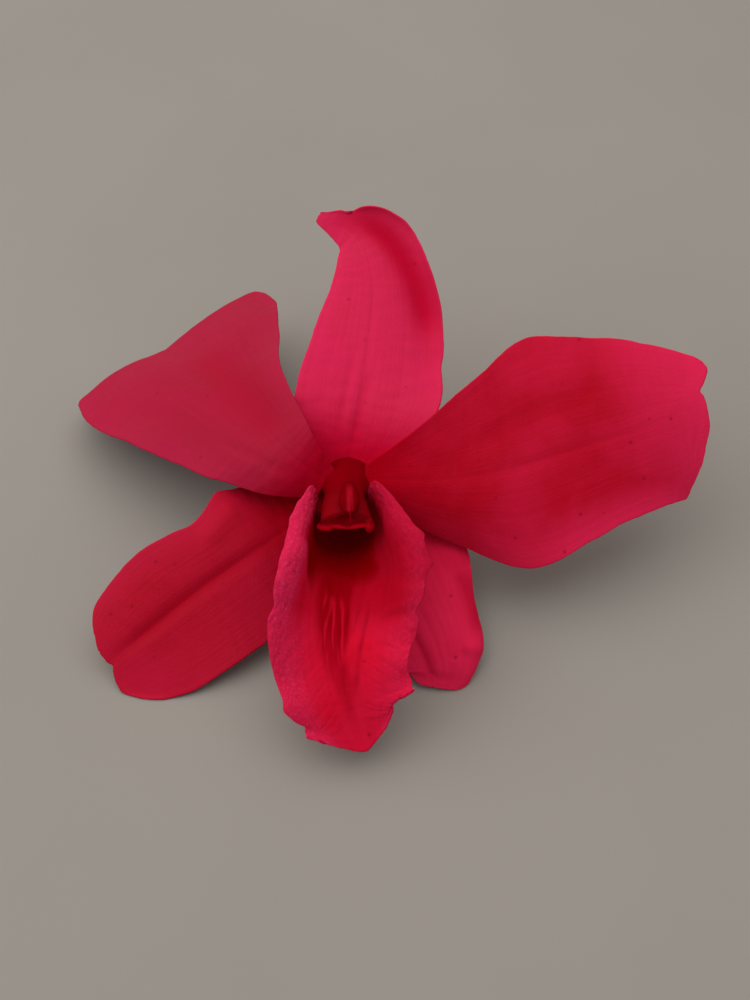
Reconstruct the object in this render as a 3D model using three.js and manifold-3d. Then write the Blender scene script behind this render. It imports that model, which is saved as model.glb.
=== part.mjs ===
// One bloom of a dendrobium orchid, dyed crimson and preserved, lying on a table.
// It rests on the tips of its two lower sepals in front and on the cut end of its
// flower stalk behind, so its face leans back and looks up at the room.
//
// Millimetres and degrees, +Z up. The origin is on the table, under the middle of the
// bloom. The flower has a frame of its own: X to the right, Y up the face and Z out of
// the face, from the point where sepals, petals and column meet.
import * as THREE from "three";
import Module from "manifold-3d";
import { mergeVertices } from "three/addons/utils/BufferGeometryUtils.js";

const wasm = await Module();
wasm.setup();

// ---- Driving dimensions ----
const FACE_ELEVATION = 50; // how far above the horizon the face of the flower looks
const CENTRE = new THREE.Vector3(-3.24, -4.07, 12.7); // the flower's own origin, over the table
const THICKNESS = 0.75; // sepals and petals, at the midrib
const EDGE_THICKNESS = 0.6; // and at their margins
const GAP = 0.3; // left between pieces that touch
const PRESS = 0.12; // what is nearer the table than this is pressed flat on it
const ROLL_START = 0.55; // share of a half width where a margin starts to roll
const KEEL_SPACING = 1.05; // between the ridges along the lip
const KEEL_WIDTH = 0.42; // from a ridge's crest to where it has sunk to a third
const KEELS = [-2, -1, 0, 1, 2]; // counted from the middle one
const WAVE_SHIFT = 2.1; // how far the waves of the right margin lag behind the left one's
const RAGGED_START = 0.875; // share of a blade's length where its tip turns ragged
const RAGGED_TEETH = { coarse: 17, fine: 29, shift: 3 };
const FRONT = new THREE.Vector3(0, 0, 1); // out of the flower's face

// ---- Fineness ----
const BLADE_CELLS = { high: 20, wide: 10 };
const LIP_CELLS = { high: 30, wide: 36 };
const SECTION_STEPS = 24;
const HEADING_STEP = 0.01;
const ROD_SIDES = 16;
const ROD_STEPS = 12;
const STALK_SIDES = 12;
const EGG_CELLS = { around: 14, high: 10 };
const WELD = 1e-4;

const COLOURS = { sepal: 0xb4122c, petal: 0xb10f2a, lip: 0xc11230, column: 0x8e0c1e, cap: 0x9c0f26, stalk: 0x8c2430 };

const radians = THREE.MathUtils.degToRad;

// Between the flower's own frame and the table's.
const toTable = new THREE.Matrix4().makeRotationX(radians(90 - FACE_ELEVATION)).setPosition(CENTRE);
const toFlower = toTable.clone().invert();

// A smooth curve through evenly spaced values, read at u from 0 to 1.
function along(values, u) {
  const last = values.length - 1;
  if (last === 0) return values[0];
  const place = Math.min(Math.max(u, 0), 1) * last;
  const i = Math.min(Math.floor(place), last - 1);
  const t = place - i;
  const b = values[i];
  const c = values[i + 1];
  const a = i > 0 ? values[i - 1] : 2 * b - c;
  const d = i + 2 <= last ? values[i + 2] : 2 * c - b;
  return 0.5 * (2 * b + (c - a) * t + (2 * a - 5 * b + 4 * c - d) * t * t + (3 * b - a - 3 * c + d) * t * t * t);
}

function pointAlong(points, u) {
  return new THREE.Vector3(...[0, 1, 2].map((axis) => along(points.map((p) => p[axis]), u)));
}

// The direction of a midrib at u.
function headingAlong(points, u) {
  const ahead = pointAlong(points, Math.min(u + HEADING_STEP, 1));
  return ahead.sub(pointAlong(points, Math.max(u - HEADING_STEP, 0))).normalize();
}

// A closed thin sheet from a grid of points, each with its outward front and back offset.
function sheet(rows, thicknessAt) {
  const high = rows.length;
  const wide = rows[0].length;
  const front = [];
  const back = [];
  rows.forEach((row, i) =>
    row.forEach((point, j) => {
      const up = rows[Math.min(i + 1, high - 1)][j].clone().sub(rows[Math.max(i - 1, 0)][j]);
      const side = row[Math.min(j + 1, wide - 1)].clone().sub(row[Math.max(j - 1, 0)]);
      const normal = side.cross(up).normalize();
      const half = thicknessAt(i / (high - 1), (2 * j) / (wide - 1) - 1) / 2;
      front.push(point.clone().addScaledVector(normal, half));
      back.push(point.clone().addScaledVector(normal, -half));
    }),
  );
  const at = (i, j) => i * wide + j;
  const behind = front.length;
  const faces = [];
  const quad = (a, b, c, d) => faces.push(a, b, c, a, c, d);
  for (let i = 0; i < high - 1; i++)
    for (let j = 0; j < wide - 1; j++) {
      const [a, b, c, d] = [at(i, j), at(i, j + 1), at(i + 1, j + 1), at(i + 1, j)];
      quad(a, b, c, d);
      faces.push(behind + a, behind + c, behind + b, behind + a, behind + d, behind + c);
    }
  const rim = [];
  for (let j = 0; j < wide - 1; j++) rim.push(at(0, j));
  for (let i = 0; i < high - 1; i++) rim.push(at(i, wide - 1));
  for (let j = wide - 1; j > 0; j--) rim.push(at(high - 1, j));
  for (let i = high - 1; i > 0; i--) rim.push(at(i, 0));
  rim.forEach((a, k) => {
    const b = rim[(k + 1) % rim.length];
    quad(a, behind + a, behind + b, b);
  });
  const geometry = new THREE.BufferGeometry();
  const positions = [...front, ...back].flatMap((p) => p.toArray());
  geometry.setAttribute("position", new THREE.Float32BufferAttribute(positions, 3));
  geometry.setIndex(faces);
  return geometry;
}

// How far a half section reaches over and rises at a share of its width. It curls evenly
// from the midrib, and rolls more near its margin.
function halfSection(width, curl, roll, share) {
  let over = 0;
  let rise = 0;
  for (let k = 0; k < SECTION_STEPS; k++) {
    const s = ((k + 0.5) / SECTION_STEPS) * share;
    const rolled = Math.max(0, (s - ROLL_START) / (1 - ROLL_START));
    const angle = curl * s + roll * rolled * rolled;
    over += (Math.cos(angle) * width * share) / SECTION_STEPS;
    rise += (Math.sin(angle) * width * share) / SECTION_STEPS;
  }
  return [over, rise];
}

// A point of a blade's middle surface: u from root to tip, v from -1 at the left margin
// to 1 at the right one.
function bladePoint(blade, u, v) {
  const at = (name) => along(blade[name] ?? [0], u);
  const heading = headingAlong(blade.midrib, u);
  const across = heading.clone().cross(FRONT).normalize().applyAxisAngle(heading, radians(at("turn")));
  const out = across.clone().cross(heading);
  const side = v < 0 ? "left" : "right";
  const share = Math.abs(v);
  let [over, rise] = halfSection(at(side), radians(at(side + "Curl")), radians(at(side + "Roll")), share);
  over *= Math.sign(v);
  for (const keel of KEELS) {
    const line = keel * KEEL_SPACING * at("keelSpread");
    rise += at("keels") * Math.exp(-(((over - line) / KEEL_WIDTH) ** 2));
  }
  const { size: waveSize, count: waveCount } = blade.wave ?? { size: 0, count: 0 };
  const wave = Math.sin(2 * Math.PI * waveCount * u + (v < 0 ? 0 : WAVE_SHIFT));
  rise += waveSize * wave * share ** 3 * Math.min(1, 3 * u);
  const teeth = Math.sin(RAGGED_TEETH.coarse * v + RAGGED_TEETH.shift) * Math.cos(RAGGED_TEETH.fine * v);
  const nearTip = Math.max(0, (u - RAGGED_START) / (1 - RAGGED_START));
  const ragged = (blade.ragged ?? 0) * teeth * nearTip;
  const ahead = at("bulge") * Math.sin(Math.PI * share) - at(side + "Trail") * share * share + ragged;
  return pointAlong(blade.midrib, u)
    .addScaledVector(across, over)
    .addScaledVector(out, rise)
    .addScaledVector(heading, ahead);
}

// A blade that would reach below the table bends up and lies along it.
function layOnTable(point) {
  point.applyMatrix4(toTable);
  point.z = Math.max(point.z, THICKNESS / 2);
  return point.applyMatrix4(toFlower);
}

// A closed blade from a grid of high by wide cells.
function bladeGeometry(blade, { high, wide } = BLADE_CELLS) {
  const rows = [];
  for (let i = 0; i <= high; i++) {
    const row = [];
    for (let j = 0; j <= wide; j++) row.push(layOnTable(bladePoint(blade, i / high, (2 * j) / wide - 1)));
    rows.push(row);
  }
  return sheet(rows, (u, v) => THREE.MathUtils.lerp(THICKNESS, EDGE_THICKNESS, v * v));
}

// ---- The blades ----
// Every list is spaced evenly from root to tip. midrib: points. left and right: half
// widths, seen from the front with the tip up. Curl: the angle that a half turns through,
// forwards from midrib to margin, and Roll what its margin adds. turn: the twist about the
// midrib. Trail: how far a margin lags behind the midrib. bulge: how far the middle of each
// half runs ahead. keels: the height of the ridges, and keelSpread how far apart they keep.
// wave and ragged: the waves of the margins and the teeth of the tip.
const DORSAL_SEPAL = {
  midrib: [[0.1, 0.4, -3.1], [1.2, 7.3, -4], [2.6, 15.8, -6], [3.0, 23.2, -7.5], [1.3, 28.7, -8.5], [-3.5, 31.3, -9]],
  left: [2, 7.1, 6.7, 4.9, 2.9, 0.6],
  right: [2, 6.8, 9.1, 9, 8.3, 7.3, 6.7, 2.8, 0.6],
  leftCurl: [20, 10, 5, 0, 0, 0],
  rightCurl: [20, 10, -10, -10, 0, 0],
  rightRoll: [0, 0, 50, 80, 80, 30],
};
const RIGHT_PETAL = {
  midrib: [[2.2, 0.2, -1.2], [10.5, 0, 0.5], [17.7, 1, 1.5], [24, 2.8, 1.5], [30, 4.7, 1], [35.2, 6.6, 0], [40.6, 8.4, -1.5]],
  left: [1.5, 7.5, 11.3, 13.3, 12.2, 10.1, 5],
  right: [1.8, 6.9, 11.1, 10.1, 9.1, 9.2, 8.2],
  leftCurl: [20, 10, -5, -15, -20, -20],
  rightCurl: [-20, -28, -5, -5, -15, -20],
  leftTrail: [0, 0, 0, 0, 0, -1.8],
  rightTrail: [0, 0, 0, 0, 0, 3.8],
  ragged: 0.35,
};
const LEFT_PETAL = {
  midrib: [[-2, -0.1, -1.2], [-6, 2.8, -0.6], [-9.5, 6.3, -2.5], [-13.3, 9.7, -6.5], [-17.1, 12.7, -12], [-20.8, 15.2, -18], [-24, 17.4, -24]],
  left: [2.4, 5.6, 8.4, 10.2, 12.4, 14, 13.4],
  right: [1.5, 3.4, 4.9, 7.2, 10.8, 14.4, 15],
  leftCurl: [-20, -15, 0, -10, -10, -5, 0],
  rightCurl: [10, 0, -5, -10, -5, 0, 5],
  turn: [0, 0, 0, 8, 22, 26, 26],
  bulge: [0, 0, 0, 0, 0, 0.5, 2.4],
  ragged: 0.35,
};
const LEFT_SEPAL = {
  midrib: [[-2.8, -2.6, -5], [-6.8, -5.6, -3.4], [-11.5, -8.8, -0.6], [-16.5, -12.4, 1.8], [-21.2, -16.2, 2.7], [-25.9, -19.9, 2.8]],
  left: [1.2, 5.4, 8.5, 9.1, 8.9, 8.1, 5.8],
  right: [2.8, 4.8, 6.6, 7.7, 6.7, 7, 7.4, 7, 6, 3.6],
  leftCurl: [20, 10, 10, 10, 10, 10],
  rightCurl: [10, -10, -15, -10, -15, -15],
  ragged: 0.3,
};
const RIGHT_SEPAL = {
  midrib: [[3, -2.8, -5.1], [4.7, -7.2, -3.2], [6.9, -12, 0.2], [9.4, -16.6, 2.4], [10.6, -20.4, 3.1], [10.3, -22.7, 3]],
  left: [2.8, 6.3, 8.2, 7.8, 6.4, 5.6, 3.6, 2.4],
  right: [1.2, 4.4, 7, 7, 5.5, 2.5],
  leftCurl: [10, -10, -25, -20, -15, -25],
  leftRoll: [0, 0, -20, -60, -60, -20],
  rightCurl: [10, 0, -10, -15, -15, -15],
};
const LIP = {
  midrib: [[0.1, -5.6, -3.5], [0.3, -7.1, -0.8], [0.4, -9.6, 3.2], [0.2, -13.5, 7], [0.1, -18.3, 9.6], [0.8, -23.3, 10.8], [2.2, -27.5, 11]],
  left: [1.4, 6.8, 9.8, 10.4, 10.7, 11.2, 9.9, 8.4, 7.2, 7, 6.6, 4.9, 3.6],
  right: [1.4, 6.8, 9.8, 10.4, 10.6, 10.4, 9.8, 8.7, 7.7, 7, 6.2, 5.2, 4],
  leftCurl: [90, 158, 140, 87, 37, 15, 10],
  rightCurl: [90, 162, 150, 118, 25, 15, 10],
  leftRoll: [0, -90, -139, -89, -37, -8, 0],
  rightRoll: [0, -105, -178, -146, -20, -8, 0],
  leftTrail: [0, 0, 0, 0, 0, 0.5, 2],
  rightTrail: [0, 0, 0, 0, 0, 0.5, 2],
  keels: [0, 0, 0, 0.3, 0.5, 0, 0],
  keelSpread: [1, 1, 1.05, 1, 0.6, 0.2, 0.2],
  wave: { size: 0.3, count: 6 },
  ragged: 0.35,
};

// ---- Solids ----
function solidOf(geometry) {
  const bare = geometry.clone();
  bare.deleteAttribute("normal");
  bare.deleteAttribute("uv");
  const merged = mergeVertices(bare, WELD);
  return new wasm.Manifold(
    new wasm.Mesh({
      numProp: 3,
      vertProperties: merged.attributes.position.array,
      triVerts: new Uint32Array(merged.index.array),
    }),
  );
}

function geometryOf(solid) {
  const mesh = solid.getMesh();
  const geometry = new THREE.BufferGeometry();
  geometry.setAttribute("position", new THREE.Float32BufferAttribute(mesh.vertProperties, 3));
  geometry.setIndex([...mesh.triVerts]);
  return geometry;
}

// A closed rod of oval sections along a path. up is the side that heights are measured to.
function rodGeometry({ path, widths, heights, up, sides = ROD_SIDES, steps = ROD_STEPS, extra = 0, under = 1 }) {
  const points = [];
  for (let i = 0; i <= steps; i++) {
    const u = i / steps;
    const heading = headingAlong(path, u);
    const across = heading.clone().cross(up).normalize();
    const top = across.clone().cross(heading);
    const centre = pointAlong(path, u);
    if (i === 0) centre.addScaledVector(heading, -extra);
    if (i === steps) centre.addScaledVector(heading, extra);
    const wide = along(widths, u) / 2 + extra;
    const tall = along(heights, u) / 2 + extra;
    for (let k = 0; k < sides; k++) {
      const a = (2 * Math.PI * k) / sides;
      const lift = Math.sin(a) < 0 ? under : 1;
      points.push(
        centre.clone().addScaledVector(across, wide * Math.cos(a)).addScaledVector(top, tall * lift * Math.sin(a)),
      );
    }
    if (i === 0 || i === steps) points.push(centre);
  }
  // ring i starts after the first cap's centre point, which follows ring 0
  const ring = (i, k) => (i === 0 ? 0 : i * sides + 1) + (k % sides);
  const faces = [];
  for (let i = 0; i < steps; i++)
    for (let k = 0; k < sides; k++) {
      const [a, b, c, d] = [ring(i, k), ring(i, k + 1), ring(i + 1, k + 1), ring(i + 1, k)];
      faces.push(a, c, b, a, d, c);
    }
  const first = sides;
  const last = points.length - 1;
  for (let k = 0; k < sides; k++) {
    faces.push(first, ring(0, k), ring(0, k + 1));
    faces.push(last, ring(steps, k + 1), ring(steps, k));
  }
  const geometry = new THREE.BufferGeometry();
  geometry.setAttribute("position", new THREE.Float32BufferAttribute(points.flatMap((p) => p.toArray()), 3));
  geometry.setIndex(faces);
  return geometry;
}

// ---- Column and stalk ----
const DORSAL = new THREE.Vector3(0, 0.8, 0.6);
const COLUMN = {
  path: [[0.1, -0.7, -2.2], [-0.05, -1.6, 0.6], [0, -3, 3.2], [0.25, -4.6, 5.8]],
  widths: [3, 4, 5, 5.6],
  heights: [2.4, 2.8, 3.2, 3.2],
  up: DORSAL,
  under: 0.6,
};
// The chin under the column, which carries the lip.
const FOOT = {
  path: [[0, -1.4, -1.6], [0, -2.9, -4.6], [0, -4.3, -7.2], [0, -5.2, -9.2]],
  widths: [2.6, 2.8, 2.4, 1],
  heights: [1.6, 1.8, 1.6, 0.8],
  up: DORSAL,
};
const STALK = {
  path: [[0.1, 0.3, -5.4], [0.4, 1.3, -7.4], [1.2, 3.2, -11.4], [2.6, 5, -15.8], [4.4, 6, -20.5]],
  widths: [5.4, 3.4, 2.6, 2.3, 2.4],
  heights: [4.8, 3.4, 2.6, 2.3, 2.4],
  up: new THREE.Vector3(0, 1, 0.4),
  sides: STALK_SIDES,
};
const COLUMN_LEAN = 31; // how far the column points down from straight out of the face
const WINGS = [
  { at: [-2, -5.1, 5.4], size: [0.85, 0.6, 0.8] },
  { at: [2.6, -4.9, 5.4], size: [0.6, 1, 0.9] },
];
const PIT = { at: [0.4, -4.55, 6.8], size: [1.3, 0.62, 0.8] };
const CAP = { at: [0.6, -1.9, 5.6], size: [1.1, 0.9, 2] };

// An egg with the given half sizes, leaning with the column.
function eggGeometry({ at, size }) {
  return new THREE.SphereGeometry(1, EGG_CELLS.around, EGG_CELLS.high)
    .scale(...size)
    .rotateX(radians(COLUMN_LEAN))
    .translate(...at);
}

let column = solidOf(rodGeometry(COLUMN)).add(solidOf(rodGeometry({ ...FOOT, steps: 9 })));
for (const wing of WINGS) column = column.add(solidOf(eggGeometry(wing)));
column = column.subtract(solidOf(eggGeometry(PIT)));
const antherCap = solidOf(eggGeometry(CAP)).subtract(solidOf(rodGeometry({ ...COLUMN, extra: GAP })));

// ---- Assembly ----
const flower = new THREE.Group();
flower.applyMatrix4(toTable);

// Presses what comes within a hair of the table flat against it.
function pressFlat(geometry) {
  const position = geometry.getAttribute("position");
  const p = new THREE.Vector3();
  for (let i = 0; i < position.count; i++) {
    p.fromBufferAttribute(position, i).applyMatrix4(toTable);
    if (p.z > PRESS) continue;
    p.setZ(0).applyMatrix4(toFlower);
    position.setXYZ(i, p.x, p.y, p.z);
  }
  return geometry;
}

function addPiece(name, geometry, colour) {
  const material = new THREE.MeshStandardMaterial({ color: colour, roughness: 0.75, metalness: 0 });
  const mesh = new THREE.Mesh(pressFlat(geometry), material);
  mesh.name = name;
  flower.add(mesh);
}

addPiece("dorsal_sepal", bladeGeometry(DORSAL_SEPAL), COLOURS.sepal);
addPiece("left_lateral_sepal", bladeGeometry(LEFT_SEPAL), COLOURS.sepal);
addPiece("right_lateral_sepal", bladeGeometry(RIGHT_SEPAL), COLOURS.sepal);
addPiece("left_petal", bladeGeometry(LEFT_PETAL), COLOURS.petal);
addPiece("right_petal", bladeGeometry(RIGHT_PETAL), COLOURS.petal);
addPiece("lip", bladeGeometry(LIP, LIP_CELLS), COLOURS.lip);
addPiece("column", geometryOf(column), COLOURS.column);
addPiece("anther_cap", geometryOf(antherCap), COLOURS.cap);
addPiece("stalk", rodGeometry(STALK), COLOURS.stalk);

const orchid = new THREE.Group();
orchid.add(flower);
export default orchid;
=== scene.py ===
"""One bloom of a dendrobium orchid, dyed crimson and preserved, lying on a pale table.

Each finer piece here stands for the solid of the same name, and keeps its form. Lengths are in
millimetres and angles in degrees until a mesh is written in metres. The flower has a frame of
its own: X to the right, Y up the face and Z out of the face.
"""

import logging
import math
from dataclasses import dataclass, field
from enum import Enum

import bpy
import numpy as np
from mathutils import Matrix, Vector, noise


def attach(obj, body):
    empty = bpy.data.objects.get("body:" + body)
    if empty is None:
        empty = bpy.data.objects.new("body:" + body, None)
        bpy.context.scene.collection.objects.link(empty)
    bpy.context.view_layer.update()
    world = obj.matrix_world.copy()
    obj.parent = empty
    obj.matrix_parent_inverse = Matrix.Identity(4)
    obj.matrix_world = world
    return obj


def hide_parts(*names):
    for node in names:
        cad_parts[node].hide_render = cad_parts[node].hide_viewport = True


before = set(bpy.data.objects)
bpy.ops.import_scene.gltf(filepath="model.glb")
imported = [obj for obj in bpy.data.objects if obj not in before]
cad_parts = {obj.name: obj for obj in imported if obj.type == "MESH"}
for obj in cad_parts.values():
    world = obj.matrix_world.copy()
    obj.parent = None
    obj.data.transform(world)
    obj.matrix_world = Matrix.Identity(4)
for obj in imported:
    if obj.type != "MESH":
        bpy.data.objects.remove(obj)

LOG = logging.getLogger("orchid")
MM = 0.001
BODY = "root"
FACE_ELEVATION = 50.0  # how far above the horizon the face of the flower looks
CENTRE = (-3.24, -4.07, 12.7)  # the flower's own origin, over the table
ROLL_START = 0.55  # share of a half width where a margin starts to roll
KEEL_SPACING = 1.05
KEEL_WIDTH = 0.42
KEEL_GRAINS = 14.0  # how often a ridge's height changes along it
KEEL_EVEN, KEEL_UNEVEN = 0.8, 0.5  # the steady and the changing share of that height
KEELS = (-2, -1, 0, 1, 2)  # the ridges along the lip, counted from the middle one
WAVE_SHIFT = 2.1  # how far the right margin's waves are behind the left one's
SECTION_STEPS = 24
HEADING_STEP = 0.01
LENGTH_STEPS = 60
TIP_ZONE = (0.86, 1.0)  # shares of the length where the tip's notches act
SIDE_ZONE = (0.72, 1.0)  # shares of a half width where a side's notches act
TIP_FRAY = ((5.0, 3.0, 1.0), (14.0, 8.0, 0.5))  # grains across the tip, lane of noise, strength
SIDE_FRAY = ((3.2, 0.0, 1.0), (0.9, 5.0, 0.4))  # size of a grain in mm, lane of noise, strength
LANE_GAP = 10.0  # keeps the noise of the two sides apart
MOST_CORNER = 0.95  # the largest corner radius, for each unit of the half width
SIDE_CROWD = 0.3  # how far the grid's columns crowd towards the margins
TIP_CROWD = 0.4  # and its rows towards the tip
CREASE_FADE = 0.25  # share of a crease over which each end fades
CREASE_LEAST = 0.25  # what is left of it at the very end
BEAD_WIDTH = 0.45  # of the rounded edge, for each unit of thickness
BEAD_LEAST = 0.3  # the thickness left at the very edge
TABLE_EASE = 0.08  # how softly a blade bends up where it meets the table, in mm
ROOT_ZONE = (0.16, 0.0)  # where every blade's root gets painted shade, where the parts meet
ROOT_DARK = 0.8
ROOT_FULL = 0.04  # where a blade's own root shade is at its full strength
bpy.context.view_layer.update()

Values = tuple[float, ...]
Span = tuple[float, float]  # where something starts and where it is full
Point = tuple[float, float, float]
Points = tuple[Point, ...]
Colour = tuple[float, float, float]


class Side(Enum):
    """The three margins of a blade, seen from the front with its tip up."""

    LEFT = -1
    RIGHT = 1
    TIP = 0


class Pattern(float, Enum):
    """What is added to a blade's seed, so that each use of noise has a pattern of its own."""

    KEELS = 10.0
    VEINS = 20.0
    STREAKS = 30.0
    DENTS = 40.0
    THROAT_EDGE = 50.0
    THROAT_FADE = 51.0
    PUCKER = 60.0
    LOBE_END = 70.0
    LOBE_CREASES = 80.0
    LOBE_WRINKLES = 81.0
    APRON_CREASES = 90.0
    APRON_WRINKLES = 91.0
    BEADS = 95.0


# ---------------------------------------------------------------- curves and noise


def along(values: tuple, u: np.ndarray) -> np.ndarray:
    """Reads a smooth curve through evenly spaced values.

    Args:
        values: Numbers or points, from root to tip.
        u: Places along the curve, from 0 to 1.

    Returns:
        One number or point for each place.
    """
    table = np.asarray(values, float)
    last = len(table) - 1
    if last == 0:
        return np.broadcast_to(table[0], u.shape + table.shape[1:]).copy()
    place = np.clip(u, 0.0, 1.0) * last
    i = np.minimum(place.astype(int), last - 1)
    t = (place - i).reshape(u.shape + (1,) * (table.ndim - 1))
    b, c = table[i], table[i + 1]
    a = np.where((i > 0).reshape(t.shape), table[np.maximum(i - 1, 0)], 2 * b - c)
    d = np.where((i + 2 <= last).reshape(t.shape), table[np.minimum(i + 2, last)], 2 * c - b)
    cubic = 3 * b - a - 3 * c + d
    return 0.5 * (2 * b + (c - a) * t + (2 * a - 5 * b + 4 * c - d) * t**2 + cubic * t**3)


def heading_along(points: Points, u: np.ndarray) -> np.ndarray:
    """The direction of a curve.

    Args:
        points: The curve's evenly spaced points.
        u: Places along it, from 0 to 1.

    Returns:
        One unit vector for each place.
    """
    ahead = along(points, np.minimum(u + HEADING_STEP, 1.0))
    return unit(ahead - along(points, np.maximum(u - HEADING_STEP, 0.0)))


def unit(vectors: np.ndarray) -> np.ndarray:
    """Vectors brought to length 1."""
    return vectors / np.maximum(np.linalg.norm(vectors, axis=-1, keepdims=True), 1e-12)


def smooth_step(low: float, high: float, x: np.ndarray) -> np.ndarray:
    """Rises smoothly from 0 at low to 1 at high.

    Args:
        low: Where the rise starts.
        high: Where it ends. It may be lower than low, for a fall.
        x: Values to read it at.

    Returns:
        Values from 0 to 1.
    """
    t = np.clip((x - low) / (high - low), 0.0, 1.0)
    return t * t * (3.0 - 2.0 * t)


def rough(x: np.ndarray, y: np.ndarray, seed: float) -> np.ndarray:
    """Smooth noise over a plane.

    Args:
        x: First coordinate, in grains.
        y: Second coordinate, in grains.
        seed: Picks one of many patterns.

    Returns:
        Values from about -1 to 1.
    """
    return np.array([noise.noise((a, b, seed)) for a, b in zip(x.tolist(), y.tolist())])


# ---------------------------------------------------------------- mesh work


def deselect_all() -> None:
    """Leaves nothing selected, so that an operator acts on the new piece alone."""
    bpy.ops.object.select_all(action="DESELECT")


def activate(piece: bpy.types.Object) -> None:
    """Selects one piece alone and makes it active.

    Args:
        piece: The piece.
    """
    deselect_all()
    piece.select_set(True)
    bpy.context.view_layer.objects.active = piece


def read_points(mesh: bpy.types.Mesh) -> np.ndarray:
    """Reads where a mesh's vertices are.

    Args:
        mesh: The mesh.

    Returns:
        One point for each vertex.
    """
    flat = np.empty(len(mesh.vertices) * 3)
    mesh.vertices.foreach_get("co", flat)
    return flat.reshape(-1, 3)


def read_normals(mesh: bpy.types.Mesh) -> np.ndarray:
    """Reads a mesh's vertex normals.

    Args:
        mesh: The mesh.

    Returns:
        One unit vector for each vertex.
    """
    flat = np.empty(len(mesh.vertices) * 3)
    mesh.vertex_normals.foreach_get("vector", flat)
    return flat.reshape(-1, 3)


def write_points(mesh: bpy.types.Mesh, points: np.ndarray) -> None:
    """Moves the mesh's vertices to the given points."""
    mesh.vertices.foreach_set("co", points.ravel())
    mesh.update()


def write_mask(mesh: bpy.types.Mesh, name: str, values: np.ndarray) -> None:
    """Stores one number for each vertex, under a name that materials read."""
    layer = mesh.attributes.get(name) or mesh.attributes.new(name, "FLOAT", "POINT")
    layer.data.foreach_set("value", values.astype(np.float32))


def apply_modifier(piece: bpy.types.Object, kind: str, **settings: object) -> None:
    """Adds a modifier and applies it at once.

    Args:
        piece: The piece to change.
        kind: Blender's type name of the modifier.
        settings: The modifier's own properties.
    """
    activate(piece)
    modifier = piece.modifiers.new(kind.lower(), kind)
    for key, value in settings.items():
        setattr(modifier, key, value)
    bpy.ops.object.modifier_apply(modifier=modifier.name)


def shade_smooth(piece: bpy.types.Object) -> None:
    """Shades a piece smoothly all over."""
    activate(piece)
    bpy.ops.object.shade_smooth()


def to_table(points: np.ndarray) -> np.ndarray:
    """Leans the flower's frame back over the table.

    Args:
        points: Points in the flower's frame, in mm.

    Returns:
        The same points over the table, in mm.
    """
    lean = math.radians(90.0 - FACE_ELEVATION)
    turn = np.array(Matrix.Rotation(lean, 3, "X"))
    return points @ turn.T + np.array(CENTRE)


def install(piece: bpy.types.Object, node: str, finish: "Finish") -> bpy.types.Object:
    """Puts a finished piece in the place of a solid.

    Args:
        piece: The piece, in metres and in place.
        node: The solid that it stands for.
        finish: What its surface is like.

    Returns:
        The same piece.
    """
    piece.data.materials.clear()
    piece.data.materials.append(finish.material())
    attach(piece, BODY)
    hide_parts(node)
    LOG.info("%s: %d faces", piece.name, len(piece.data.polygons))
    return piece


# ---------------------------------------------------------------- shader groups

NUMBER, VECTOR = "NodeSocketFloat", "NodeSocketVector"
MIX_INPUTS = (0, 6, 7)  # the share and the two colours of a colour mix
MIX_OUTPUT = 2
CLOUD_RANGE = (0.3, 0.7)
STREAK_RANGE = (0.35, 0.68)
STREAK_STRETCH = (1.0, 0.06, 1.0)
RIB_SCALE = 60.0
RIB_STRETCH = (1.0, 0.08, 1.0)
SPECK_EDGE = (0.03, 0.13)  # from a speck's dark middle to its rim, for each cell


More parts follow.
